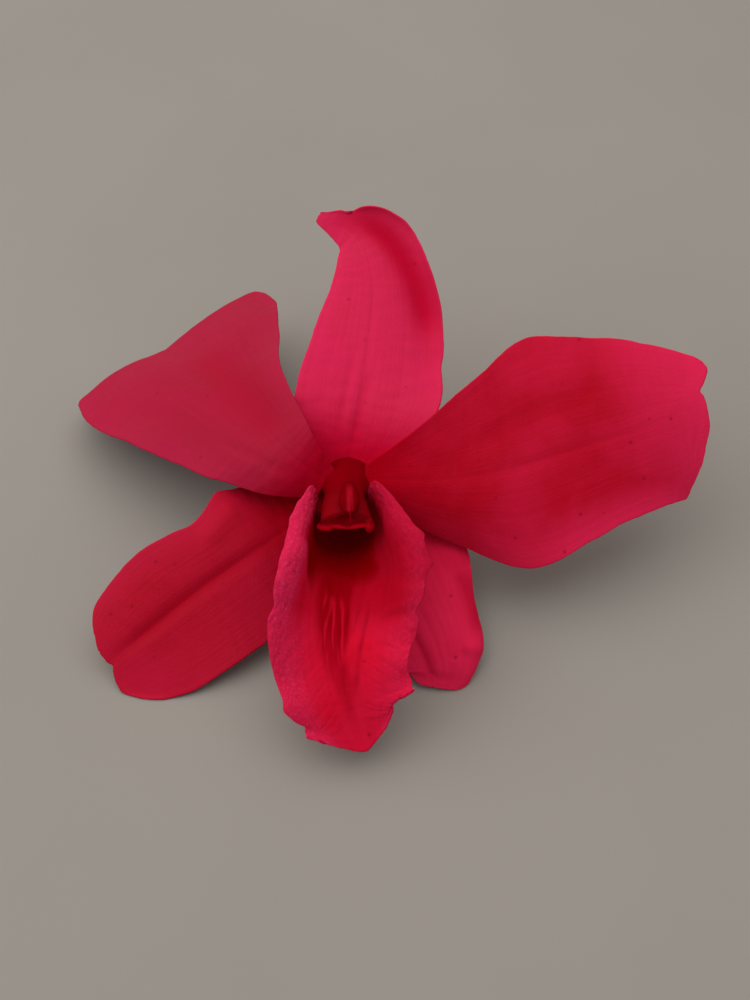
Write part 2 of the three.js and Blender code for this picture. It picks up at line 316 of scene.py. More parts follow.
@dataclass
class Board:
    """A node tree with short ways to add and join its nodes."""

    tree: bpy.types.NodeTree

    def add(self, kind: str, **settings: object) -> bpy.types.Node:
        """Adds a node.

        Args:
            kind: Blender's type name of the node.
            settings: The node's own properties.

        Returns:
            The new node.
        """
        node = self.tree.nodes.new(kind)
        for key, value in settings.items():
            setattr(node, key, value)
        return node

    def feed(self, socket: bpy.types.NodeSocket, value: object) -> None:
        """Joins another socket to this one, or sets it to a plain value."""
        if isinstance(value, bpy.types.NodeSocket):
            self.tree.links.new(value, socket)
        else:
            socket.default_value = value

    def math(self, operation: str, *values: object, clamp: bool = False) -> bpy.types.NodeSocket:
        """Works out a number.

        Args:
            operation: Blender's name of the operation.
            values: Sockets or numbers.
            clamp: Whether the result is kept from 0 to 1.

        Returns:
            The socket with the result.
        """
        node = self.add("ShaderNodeMath", operation=operation, use_clamp=clamp)
        for socket, value in zip(node.inputs, values):
            self.feed(socket, value)
        return node.outputs[0]

    def ramp(
        self, value: object, low: float, high: float, bottom: float = 0.0, top: float = 1.0
    ) -> bpy.types.NodeSocket:
        """Maps a number smoothly from one range to another.

        Args:
            value: The socket to read.
            low: Where the old range starts.
            high: Where it ends.
            bottom: The new value at low.
            top: The new value at high.

        Returns:
            The socket with the result.
        """
        node = self.add("ShaderNodeMapRange", interpolation_type="SMOOTHSTEP")
        for socket, given in zip(node.inputs, (value, low, high, bottom, top)):
            self.feed(socket, given)
        return node.outputs[0]

    def blend(self, share: object, first: object, second: object) -> bpy.types.NodeSocket:
        """Mixes two colours.

        Args:
            share: How much of the second colour, from 0 to 1.
            first: A socket or a colour.
            second: A socket or a colour.

        Returns:
            The socket with the mixed colour.
        """
        node = self.add("ShaderNodeMix", data_type="RGBA")
        for index, given in zip(MIX_INPUTS, (share, first, second)):
            self.feed(node.inputs[index], (*given, 1.0) if isinstance(given, tuple) else given)
        return node.outputs[MIX_OUTPUT]

    def use(self, group: bpy.types.NodeTree, **values: object) -> bpy.types.Node:
        """Adds a shader group and feeds its inputs.

        Args:
            group: The group's tree.
            values: Sockets or numbers by the input's name, with an underscore for a space.

        Returns:
            The group's node.
        """
        node = self.add("ShaderNodeGroup", node_tree=group)
        for label, value in values.items():
            self.feed(node.inputs[label.replace("_", " ")], value)
        return node

    def mask(self, name: str) -> bpy.types.NodeSocket:
        """Reads one of the piece's stored masks."""
        return self.add("ShaderNodeAttribute", attribute_name=name).outputs["Fac"]

    def grain(
        self, vector: object, scale: object, detail: float, stretch: Point = (1, 1, 1)
    ) -> bpy.types.NodeSocket:
        """Reads noise, drawn out along one way if asked.

        Args:
            vector: Where to read it.
            scale: Grains for each unit of length.
            detail: How many finer layers it has.
            stretch: A factor for each axis.

        Returns:
            The socket with values from 0 to 1.
        """
        mapping = self.add("ShaderNodeMapping")
        self.feed(mapping.inputs["Vector"], vector)
        mapping.inputs["Scale"].default_value = stretch
        node = self.add("ShaderNodeTexNoise")
        self.feed(node.inputs["Vector"], mapping.outputs[0])
        self.feed(node.inputs["Scale"], scale)
        node.inputs["Detail"].default_value = detail
        return node.outputs[0]


def start_group(name: str, inputs: dict[str, str], outputs: dict[str, str]) -> Board:
    """Starts a shader group with named sockets.

    Args:
        name: The group's name.
        inputs: Socket types by name.
        outputs: Socket types by name.

    Returns:
        A board on the group's tree.
    """
    tree = bpy.data.node_groups.new(name, "ShaderNodeTree")
    for label, kind in inputs.items():
        tree.interface.new_socket(label, in_out="INPUT", socket_type=kind)
    for label, kind in outputs.items():
        tree.interface.new_socket(label, in_out="OUTPUT", socket_type=kind)
    return Board(tree)


class TissueGroups:
    """The shader groups that all of the bloom's finishes share."""

    def __init__(self) -> None:
        """Builds each group once."""
        self.mottle = self._mottle()
        self.specks = self._specks()
        self.cells = self._cells()

    def _mottle(self) -> bpy.types.NodeTree:
        """Builds the uneven uptake of dye, in broad clouds and in streaks along a blade.

        Returns:
            The group, from Place, Sheet and two scales to Clouds and Streaks.
        """
        board = start_group(
            "uneven dye",
            {"Place": VECTOR, "Sheet": VECTOR, "Cloud Scale": NUMBER, "Streak Scale": NUMBER},
            {"Clouds": NUMBER, "Streaks": NUMBER},
        )
        given = board.add("NodeGroupInput")
        taken = board.add("NodeGroupOutput")
        clouds = board.grain(given.outputs["Place"], given.outputs["Cloud Scale"], 3.0)
        streaks = board.grain(given.outputs["Sheet"], given.outputs["Streak Scale"], 3.0, STREAK_STRETCH)
        board.feed(taken.inputs["Clouds"], board.ramp(clouds, *CLOUD_RANGE))
        board.feed(taken.inputs["Streaks"], board.ramp(streaks, *STREAK_RANGE))
        return board.tree

    def _specks(self) -> bpy.types.NodeTree:
        """Builds small stray spots, dark where a bruise took more dye.

        Returns:
            The group, from Place, Scale and Rarity to Spots.
        """
        board = start_group(
            "dye specks", {"Place": VECTOR, "Scale": NUMBER, "Rarity": NUMBER}, {"Spots": NUMBER}
        )
        given = board.add("NodeGroupInput")
        taken = board.add("NodeGroupOutput")
        cells = board.add("ShaderNodeTexVoronoi")
        board.feed(cells.inputs["Vector"], given.outputs["Place"])
        board.feed(cells.inputs["Scale"], given.outputs["Scale"])
        near = board.ramp(cells.outputs["Distance"], *SPECK_EDGE, 1.0, 0.0)
        pick = board.add("ShaderNodeSeparateColor")
        board.feed(pick.inputs[0], cells.outputs["Color"])
        rare = board.math("GREATER_THAN", pick.outputs[0], given.outputs["Rarity"])
        board.feed(taken.inputs["Spots"], board.math("MULTIPLY", near, rare))
        return board.tree

    def _cells(self) -> bpy.types.NodeTree:
        """Builds the fine cell texture of petal skin.

        Returns:
            The group, from Place, Sheet and scales to Height.
        """
        board = start_group(
            "skin cells",
            {"Place": VECTOR, "Sheet": VECTOR, "Cell Scale": NUMBER, "Ribbing": NUMBER},
            {"Height": NUMBER},
        )
        given = board.add("NodeGroupInput")
        taken = board.add("NodeGroupOutput")
        fine = board.grain(given.outputs["Place"], given.outputs["Cell Scale"], 2.0)
        ribs = board.grain(given.outputs["Sheet"], RIB_SCALE, 2.0, RIB_STRETCH)
        drawn = board.math("MULTIPLY", ribs, given.outputs["Ribbing"])
        board.feed(taken.inputs["Height"], board.math("ADD", fine, drawn))
        return board.tree


GROUPS = TissueGroups()


# ---------------------------------------------------------------- finishes


@dataclass(frozen=True)
class Finish:
    """A surface of the bloom: how it is coloured, how dull it is and how fine its grain."""

    name: str
    base: Colour
    bloom_and_light: Colour  # paler pink of dry, raised skin; along the rims it is partly painted light, and on the column's front and the cap's crest wholly
    shade: Colour  # what veins, valleys and clouds tend to
    deep: Colour  # painted shade in the throat, at the roots, in folds and on hidden parts; on the stalk, its dry cut end
    back: Colour = (0.36, 0.010, 0.040)
    cloud_scale: float = 110.0
    streak_scale: float = 26.0
    bloom_share: float = 0.35
    rim_share: float = 0.5
    shade_share: float = 0.14
    vein_share: float = 0.08
    back_share: float = 0.35
    speck: Colour = (0.20, 0.002, 0.012)  # small bruises
    speck_share: float = 0.55
    speck_scale: float = 420.0
    speck_rarity: float = 0.5
    papillae: float = 0.0  # how far the pale grains along the rims stand out in colour
    papilla: Colour = (0.62, 0.045, 0.13)
    papilla_scale: float = 3800.0
    papilla_range: Span = (0.48, 0.72)
    cell_scale: float = 3800.0
    ribbing: float = 1.0
    bump: float = 0.5
    bump_height: float = 0.06  # in mm
    roughness: tuple[float, float] = (0.5, 0.7)
    specular: float = 0.2
    sheen: float = 0.12
    sheen_tint: Colour = (1.0, 0.14, 0.28)
    sheen_roughness: float = 0.45
    matt_from: float = 0.8  # the mask's share at which sheen and gloss are gone, under painted shade and on the stalk's cut end

    def material(self) -> bpy.types.Material:
        """Builds the material from the shared groups and this finish's own values.

        Returns:
            The new material.
        """
        material = bpy.data.materials.new(self.name)
        material.use_nodes = True
        material.node_tree.nodes.clear()
        board = Board(material.node_tree)
        place = board.add("ShaderNodeTexCoord").outputs["Object"]
        sheet = board.add("ShaderNodeUVMap").outputs[0]
        scales = {"Cloud_Scale": self.cloud_scale, "Streak_Scale": self.streak_scale}
        dye = board.use(GROUPS.mottle, Place=place, Sheet=sheet, **scales)
        deep = board.mask("deep")
        shader = board.add("ShaderNodeBsdfPrincipled")
        for label, value in {
            "Base Color": self._colour(board, dye, place),
            "Roughness": board.ramp(dye.outputs["Clouds"], 0.0, 1.0, *self.roughness),
            # sheen and gloss fade out under the painted shade and on the stalk's cut end
            "Sheen Weight": board.ramp(deep, 0.0, self.matt_from, self.sheen, 0.0),
            "Specular IOR Level": board.ramp(deep, 0.0, self.matt_from, self.specular, 0.0),
            "Sheen Roughness": self.sheen_roughness,
            "Sheen Tint": (*self.sheen_tint, 1.0),
            "Normal": self._normal(board, sheet, place),
        }.items():
            board.feed(shader.inputs[label], value)
        out = board.add("ShaderNodeOutputMaterial")
        board.feed(out.inputs["Surface"], shader.outputs[0])
        return material

    def _colour(
        self, board: Board, dye: bpy.types.Node, place: bpy.types.NodeSocket
    ) -> bpy.types.NodeSocket:
        """Layers the colours: clouds, streaks, pale rims partly painted light, veins, specks, rim grains,
        back, and painted shade.

        Args:
            board: The material's board.
            dye: The uneven dye group's node.
            place: Object coordinates.

        Returns:
            The socket with the surface's colour.
        """
        clouds, streaks = dye.outputs["Clouds"], dye.outputs["Streaks"]
        colour = board.blend(board.math("MULTIPLY", clouds, self.bloom_share), self.base, self.bloom_and_light)
        colour = board.blend(board.math("MULTIPLY", streaks, self.shade_share), colour, self.shade)
        # pale rims: partly the tissue's own paleness, partly painted light
        pale = board.math("MULTIPLY", board.mask("rim"), self.rim_share)
        colour = board.blend(pale, colour, self.bloom_and_light)
        dark = board.math("MULTIPLY", board.mask("vein"), self.vein_share)
        colour = board.blend(dark, colour, self.shade)
        specks = board.use(GROUPS.specks, Place=place, Scale=self.speck_scale, Rarity=self.speck_rarity)
        spots = board.math("MULTIPLY", specks.outputs["Spots"], self.speck_share)
        colour = board.blend(spots, colour, self.speck)
        if self.papillae:
            colour = self._papillae(board, colour, place)
        behind = board.math("MULTIPLY", board.mask("back"), self.back_share)
        colour = board.blend(behind, colour, self.back)
        # painted shade; on the stalk, its dry cut end
        return board.blend(board.mask("deep"), colour, self.deep)

    def _papillae(
        self, board: Board, colour: bpy.types.NodeSocket, place: bpy.types.NodeSocket
    ) -> bpy.types.NodeSocket:
        """Scatters fine pale grains along the rims.

        Args:
            board: The material's board.
            colour: The colour so far.
            place: Object coordinates.

        Returns:
            The socket with the new colour.
        """
        noise_at = board.grain(place, self.papilla_scale, 2.0)
        grains = board.ramp(noise_at, *self.papilla_range, 0.0, self.papillae)
        share = board.math("MULTIPLY", grains, board.mask("rim"))
        return board.blend(share, colour, self.papilla)

    def _normal(
        self, board: Board, sheet: bpy.types.NodeSocket, place: bpy.types.NodeSocket
    ) -> bpy.types.NodeSocket:
        """Raises the skin's cells and fine ribs.

        Args:
            board: The material's board.
            sheet: The piece's own UV map.
            place: Object coordinates.

        Returns:
            The socket with the bumped normal.
        """
        cells = board.use(
            GROUPS.cells, Place=place, Sheet=sheet, Cell_Scale=self.cell_scale, Ribbing=self.ribbing
        )
        bump = board.add("ShaderNodeBump")
        bump.inputs["Strength"].default_value = self.bump
        bump.inputs["Distance"].default_value = self.bump_height * MM
        board.feed(bump.inputs["Height"], cells.outputs["Height"])
        return bump.outputs[0]


# ---------------------------------------------------------------- blades


@dataclass(frozen=True)
class Half:
    """One half of a blade, from its midrib to its margin. Every list runs from root to tip."""

    width: Values
    curl: Values = (0.0,)  # the angle that the half turns through, forwards
    roll: Values = (0.0,)  # what its margin adds
    trail: Values = (0.0,)  # how far the margin lags behind the midrib
    corner: float = 2.5  # the radius at which it turns into the tip


@dataclass(frozen=True)
class Crease:
    """A soft fold along a straight line on a blade, given as (along, across) at both ends."""

    start: tuple[float, float]
    end: tuple[float, float]
    height: float  # below zero for a valley
    spread: float
    dark: float = 0.0  # how much painted shade gathers along the fold


@dataclass(frozen=True)
class Notch:
    """A bite out of a margin, or a tooth where its depth is below zero."""

    side: Side
    at: float  # along a side margin from 0 to 1, or across the tip from -1 to 1
    depth: float
    spread: float


@dataclass(frozen=True)
class Veins:
    """The veins that run from a blade's root to its tip and fork on the way."""

    count: int = 4  # in each half, beside the midrib
    depth: float = 0.005
    width: float = 0.3  # of a vein, for each gap between veins
    midrib: float = 0.05
    midrib_width: float = 0.35
    starts: Values = (-0.2, 0.3, 0.6)  # where the main veins and each finer set between them start
    strengths: Values = (1.0, 0.7, 0.5)
    start_reach: float = 0.18  # share of the length over which a vein comes in
    wander: float = 0.05
    wander_grains: tuple[float, float] = (3.0, 1.3)  # along and across


@dataclass(frozen=True)
class Surface:
    """The relief of a blade's skin."""

    fray: float = 0.1  # unevenness of the margins
    dents: float = 0.12
    dent_size: float = 7.0
    pucker: float = 0.04  # fine creases across the blade
    pucker_size: float = 0.9
    pucker_draw: float = 2.5  # how much longer a crease is across than along
    gather: float = 1.5  # how much deeper those creases are near the root
    gather_zone: Span = (0.42, 0.1)


@dataclass
class Blade:
    """A sepal or petal: a thin sheet strung along a midrib."""

    name: str
    slot: str
    midrib: Points
    left: Half
    right: Half
    finish: Finish
    turn: Values = (0.0,)  # how far the blade is turned round its midrib
    bulge: Values = (0.0,)  # how far each half's middle runs ahead
    keels: Values = (0.0,)  # the height of the ridges
    keel_spread: Values = (1.0,)
    wave: tuple[float, int] = (0.0, 0)  # height and count of the margin's waves
    creases: tuple[Crease, ...] = ()
    notches: tuple[Notch, ...] = ()
    veins: Veins = Veins()
    surface: Surface = Surface()
    cells: tuple[int, int] = (130, 180)
    thickness: float = 0.5
    edge_share: float = 0.5
    root_shade: float = 0.0
    root_reach: float = 0.4  # share of the length that the root's shade reaches
    pale_rims: tuple[float, float, float] = (1.0, 1.0, 1.0)  # how pale the left, right and tip margins are, partly painted light
    seed: float = 1.0

    def half(self, side: Side) -> Half:
        """The half on one side of the midrib."""
        return self.left if side is Side.LEFT else self.right

    def side_width(self, u: np.ndarray, v: np.ndarray) -> np.ndarray:
        """The width of the half that each place lies on, in mm."""
        return np.where(v < 0, along(self.left.width, u), along(self.right.width, u))

    def half_section(self, side: Side, u: np.ndarray, share: np.ndarray) -> tuple[np.ndarray, np.ndarray]:
        """How far a half section reaches over, and how far it rises.

        Args:
            side: Which half.
            u: Places from root to tip.
            share: Places from midrib to margin, from 0 to 1.

        Returns:
            The reach and the rise, in mm.
        """
        half = self.half(side)
        width = along(half.width, u)
        curl, roll = np.radians(along(half.curl, u)), np.radians(along(half.roll, u))
        over, rise = np.zeros_like(u), np.zeros_like(u)
        for k in range(SECTION_STEPS):
            s = (k + 0.5) / SECTION_STEPS * share
            rolled = np.maximum(0.0, (s - ROLL_START) / (1 - ROLL_START))
            angle = curl * s + roll * rolled**2
            over += np.cos(angle) * width * share / SECTION_STEPS
            rise += np.sin(angle) * width * share / SECTION_STEPS
        return over, rise

    def bites(self, u: np.ndarray, v: np.ndarray) -> tuple[np.ndarray, np.ndarray]:
        """How far the notches and the fray pull the margins in.

        Args:
            u: Places from root to tip.
            v: Places from the left margin, -1, to the right one, 1.

        Returns:
            The pull back along the midrib and the share of the half width taken off.
        """
        length = self.length()
        back = np.zeros_like(u)
        narrow = np.zeros_like(u)
        near_tip = smooth_step(*TIP_ZONE, u)
        near_side = smooth_step(*SIDE_ZONE, np.abs(v))
        for notch in self.notches:
            if notch.side is Side.TIP:
                away = (v - notch.at) / notch.spread
                back += notch.depth * np.exp(-(away**2)) * near_tip
            else:
                away = (u - notch.at) * length / notch.spread
                here = np.sign(v) == notch.side.value
                narrow += notch.depth * np.exp(-(away**2)) * near_side * here
        fray = self.surface.fray
        for grains, lane, strength in TIP_FRAY:
            back += strength * fray * rough(v * grains, u * 0 + lane, self.seed) * near_tip
        for size, lane, strength in SIDE_FRAY:
            side_lane = np.sign(v) * LANE_GAP + lane
            narrow += strength * fray * rough(u * length / size, side_lane, self.seed) * near_side
        return back, narrow

    def round_corners(self, u: np.ndarray, v: np.ndarray) -> tuple[np.ndarray, np.ndarray]:
        """Draws the grid's two corners at the tip in to round ones.

        Args:
            u: Places from root to tip.
            v: Places from the left margin, -1, to the right one, 1.

        Returns:
            The new places.
        """
        length = self.length()
        for side, half in ((Side.LEFT, self.left), (Side.RIGHT, self.right)):
            wide = float(along(half.width, np.array([1.0]))[0])
            radius = min(half.corner, MOST_CORNER * wide)
            x = 1.0 - (1.0 - np.abs(v)) * wide / radius
            y = 1.0 - (1.0 - u) * length / radius
            here = (x > 0) & (y > 0) & (np.sign(v) == side.value)
            bent_x = x * np.sqrt(np.maximum(1.0 - 0.5 * y**2, 0.0))
            bent_y = y * np.sqrt(np.maximum(1.0 - 0.5 * x**2, 0.0))
            v = np.where(here, side.value * (1.0 - (1.0 - bent_x) * radius / wide), v)
            u = np.where(here, 1.0 - (1.0 - bent_y) * radius / length, u)
        return u, v

    def form(self, u: np.ndarray, v: np.ndarray) -> tuple[np.ndarray, np.ndarray]:
        """The middle surface, before its relief.

        Args:
            u: Places from root to tip.
            v: Places from the left margin, -1, to the right one, 1.

        Returns:
            Points in the flower's frame, and how far each lies over from the midrib.
        """
        heading = heading_along(self.midrib, u)
        level = unit(np.cross(heading, (0.0, 0.0, 1.0)))
        turn = np.radians(along(self.turn, u))[:, None]
        across = level * np.cos(turn) + np.cross(heading, level) * np.sin(turn)
        out = np.cross(across, heading)
        share, left = np.abs(v), v < 0
        back, narrow = self.bites(u, v)
        reach = share * (1.0 - narrow / np.maximum(along(self.left.width, u), 1.0))
        over, rise, trail = (np.zeros_like(u) for _ in range(3))
        for side, here in ((Side.LEFT, left), (Side.RIGHT, ~left)):
            over[here], rise[here] = self.half_section(side, u[here], reach[here])
            trail[here] = along(self.half(side).trail, u[here])
        over *= np.sign(v)
        for keel in KEELS:
            line = keel * KEEL_SPACING * along(self.keel_spread, u)
            ridge = along(self.keels, u) * np.exp(-(((over - line) / KEEL_WIDTH) ** 2))
            uneven = rough(u * KEEL_GRAINS, u * 0 + keel, self.seed + Pattern.KEELS)
            rise += ridge * (KEEL_EVEN + KEEL_UNEVEN * uneven)
        size, count = self.wave
        wave = np.sin(2 * math.pi * count * u + np.where(left, 0.0, WAVE_SHIFT))
        rise += size * wave * share**3 * np.minimum(1.0, 3 * u)
        ahead = along(self.bulge, u) * np.sin(math.pi * share) - trail * share**2 - back
        points = along(self.midrib, u)
        points = points + across * over[:, None] + out * rise[:, None] + heading * ahead[:, None]
        return points, over

    def length(self) -> float:
        """The midrib's length in mm."""
        steps = along(self.midrib, np.linspace(0.0, 1.0, LENGTH_STEPS))
        return float(np.linalg.norm(np.diff(steps, axis=0), axis=1).sum())

    def vein_lines(self, u: np.ndarray, v: np.ndarray) -> np.ndarray:
        """Where the veins run.

        Args:
            u: Places from root to tip.
            v: Places across, from -1 to 1.

        Returns:
            A mask from 0 to 1, with the veins at 1.
        """
        veins = self.veins
        grains_along, grains_across = veins.wander_grains
        wander = veins.wander * rough(u * grains_along, v * grains_across, self.seed + Pattern.VEINS)
        lane = (v + wander) * (veins.count + 0.5)
        lines = np.zeros_like(u)
        for level, (start, strength) in enumerate(zip(veins.starts, veins.strengths)):
            offset = 0.0 if level == 0 else 0.5
            spacing = 1.0 if level < 2 else 0.5
            gap = np.abs((lane + offset * spacing) / spacing % 1.0 - 0.5) * spacing
            near = spacing * 0.5 - gap
            line = np.exp(-((near / (veins.width * 0.5)) ** 2))
            lines = np.maximum(lines, line * strength * smooth_step(start, start + veins.start_reach, u))
        return lines * smooth_step(1.0, 0.85, np.abs(v)) * smooth_step(1.0, 0.93, u)

    def relief(self, u: np.ndarray, v: np.ndarray, over: np.ndarray) -> np.ndarray:
        """How far the skin stands out from the form.

        Args:
            u: Places from root to tip.
            v: Places across, from -1 to 1.
            over: How far each place lies over from the midrib, in mm.

        Returns:
            Heights in mm.
        """
        up = u * self.length()
        rise = -self.veins.depth * self.vein_lines(u, v)
        groove = np.exp(-((over / self.veins.midrib_width) ** 2))
        rise -= self.veins.midrib * groove * smooth_step(1.0, 0.8, u)
        for crease in self.creases:
            rise += crease.height * self.crease_share(crease, up, over)
        look = self.surface
        rise += look.dents * rough(over / look.dent_size, up / look.dent_size, self.seed + Pattern.DENTS)
        height = look.pucker * (1.0 + look.gather * smooth_step(*look.gather_zone, u))
        across = over / (look.pucker_size * look.pucker_draw)
        return rise + height * rough(across, up / look.pucker_size, self.seed + Pattern.PUCKER)

    def crease_share(self, crease: Crease, up: np.ndarray, over: np.ndarray) -> np.ndarray:
        """How near each place is to one fold.

        Args:
            crease: The fold.
            up: Places along the blade, in mm.
            over: Places across it, in mm.

        Returns:
            Shares, with 1 on the fold's line.
        """
        low, high = (self.spot(*place) for place in (crease.start, crease.end))
        line = high - low
        here = np.stack([over, up], axis=1) - low
        t = np.clip(here @ line / max(float(line @ line), 1e-9), 0.0, 1.0)
        away = np.linalg.norm(here - t[:, None] * line, axis=1)
        faded = smooth_step(0.0, CREASE_FADE, t) * smooth_step(1.0, 1.0 - CREASE_FADE, t)
        ends = faded * (1.0 - CREASE_LEAST) + CREASE_LEAST
        return ends * np.exp(-((away / crease.spread) ** 2))

    def spot(self, u: float, v: float) -> np.ndarray:
        """Finds a place on the flattened blade.

        Args:
            u: The place from root to tip.
            v: The place across, from -1 to 1.

        Returns:
            How far it is over from the midrib and up from the root, in mm.
        """
        side = Side.LEFT if v < 0 else Side.RIGHT
        over, _ = self.half_section(side, np.array([u]), np.array([abs(v)]))
        return np.array([math.copysign(float(over[0]), v), u * self.length()])

    def painted_shade_mask(self, u: np.ndarray, v: np.ndarray, over: np.ndarray) -> np.ndarray:
        """Painted shade: at the root, where the parts meet, and along the folds.

        Args:
            u: Places from root to tip.
            v: Places across, from -1 to 1. Not used here.
            over: How far each place lies over from the midrib, in mm.

        Returns:
            A mask from 0 to 1.
        """
        root = self.root_shade * smooth_step(self.root_reach, ROOT_FULL, u)
        deep = np.maximum(ROOT_DARK * smooth_step(*ROOT_ZONE, u), root)
        for crease in self.creases:
            if crease.dark:
                deep = deep + (1 - deep) * crease.dark * self.crease_share(crease, u * self.length(), over)
        return deep

    def pale_rim_and_light_mask(self, u: np.ndarray, v: np.ndarray) -> np.ndarray:
        """Where the margins are pale: partly the tissue's own paleness, partly painted light.

        Args:
            u: Places from root to tip.
            v: Places across, from -1 to 1.

        Returns:
            A mask from 0 to 1.
        """
        left, right, tip = self.pale_rims
        side = smooth_step(0.45, 1.0, np.abs(v)) * smooth_step(0.1, 0.5, u) * np.where(v < 0, left, right)
        return np.maximum(side, tip * smooth_step(0.62, 1.0, u))

    def build(self) -> bpy.types.Object:
        """Shapes a grid into the blade and gives it its thickness.

        Returns:
            The blade, in place and in metres.
        """
        deselect_all()
        wide, high = self.cells
        bpy.ops.mesh.primitive_grid_add(x_subdivisions=wide, y_subdivisions=high, size=2.0)
        piece = bpy.context.active_object
        piece.name = piece.data.name = self.name
        mesh = piece.data
        flat = read_points(mesh)
        v = flat[:, 0] * (1.0 + SIDE_CROWD - SIDE_CROWD * flat[:, 0] ** 2)
        u = 0.5 * (flat[:, 1] + 1.0)
        u = u * (1.0 + TIP_CROWD * (1.0 - u))
        share = self.thickness_share(u, v)
        u, v = self.round_corners(u, v)
        self.write_sheet_map(mesh, u, v)
        points, over = self.form(u, v)
        write_points(mesh, points)
        points += read_normals(mesh) * self.relief(u, v, over)[:, None]
        points = self.lay_on_table(to_table(points), share)
        write_points(mesh, points * MM)
        write_mask(mesh, "vein", self.vein_lines(u, v))
        # pale margins, partly painted light
        write_mask(mesh, "rim", self.pale_rim_and_light_mask(u, v))
        # painted shade at the roots and along the folds
        write_mask(mesh, "deep", self.painted_shade_mask(u, v, over))
        self.thicken(piece, share)
        return piece

    def write_sheet_map(self, mesh: bpy.types.Mesh, u: np.ndarray, v: np.ndarray) -> None:
        """Lays the UV map flat on the blade: across in U and along in V, both from 0 to 1.

        Args:
            mesh: The grid's mesh.
            u: Each vertex's place from root to tip.
            v: Each vertex's place across, from -1 to 1.
        """
        corners = np.empty(len(mesh.loops), int)
        mesh.loops.foreach_get("vertex_index", corners)
        sheet = np.stack([(v[corners] + 1) / 2, u[corners]], axis=1)
        mesh.uv_layers.active.data.foreach_set("uv", sheet.ravel())

    def thickness_share(self, u: np.ndarray, v: np.ndarray) -> np.ndarray:
        """The thickness as a share of the full one: thinner to the margins, which are rounded.

        Args:
            u: Places from root to tip.
            v: Places across, from -1 to 1.

        Returns:
            Shares from 0 to 1.
        """
        inset = np.minimum((1.0 - np.abs(v)) * self.side_width(u, v), (1.0 - u) * self.length())
        body = 1.0 - (1.0 - self.edge_share) * np.maximum(v**2, smooth_step(0.5, 1.0, u))
        bead = np.clip(inset / (BEAD_WIDTH * self.thickness), 0.0, 1.0)
        return body * (BEAD_LEAST + (1.0 - BEAD_LEAST) * np.sqrt(1.0 - (1.0 - bead) ** 2))

    def lay_on_table(self, points: np.ndarray, share: np.ndarray) -> np.ndarray:
        """Bends up what would reach below the table.

        Args:
            points: The middle surface over the table, in mm.
            share: Its thickness as a share of the full one.

        Returns:
            The points, none lower than half the thickness.
        """
        lowest = self.thickness * share / 2
        above = points[:, 2] - lowest
        points[:, 2] = lowest + 0.5 * (above + np.sqrt(above**2 + TABLE_EASE**2))
        return points

    def thicken(self, piece: bpy.types.Object, share: np.ndarray) -> None:
        """Turns the shaped grid into a closed sheet and marks its back.

        Args:
            piece: The shaped grid.
            share: Each vertex's thickness, as a share of the full one.
        """
        group = piece.vertex_groups.new(name="thickness")
        for index, weight in enumerate(share.tolist()):
            group.add([index], weight, "REPLACE")
        count = len(piece.data.vertices)
        apply_modifier(
            piece, "SOLIDIFY", thickness=self.thickness * MM, offset=0.0,
            vertex_group="thickness", thickness_vertex_group=0.0,
        )
        mask = np.zeros(len(piece.data.vertices))
        mask[count:] = 1.0
        write_mask(piece.data, "back", mask)
        piece.vertex_groups.clear()
        shade_smooth(piece)


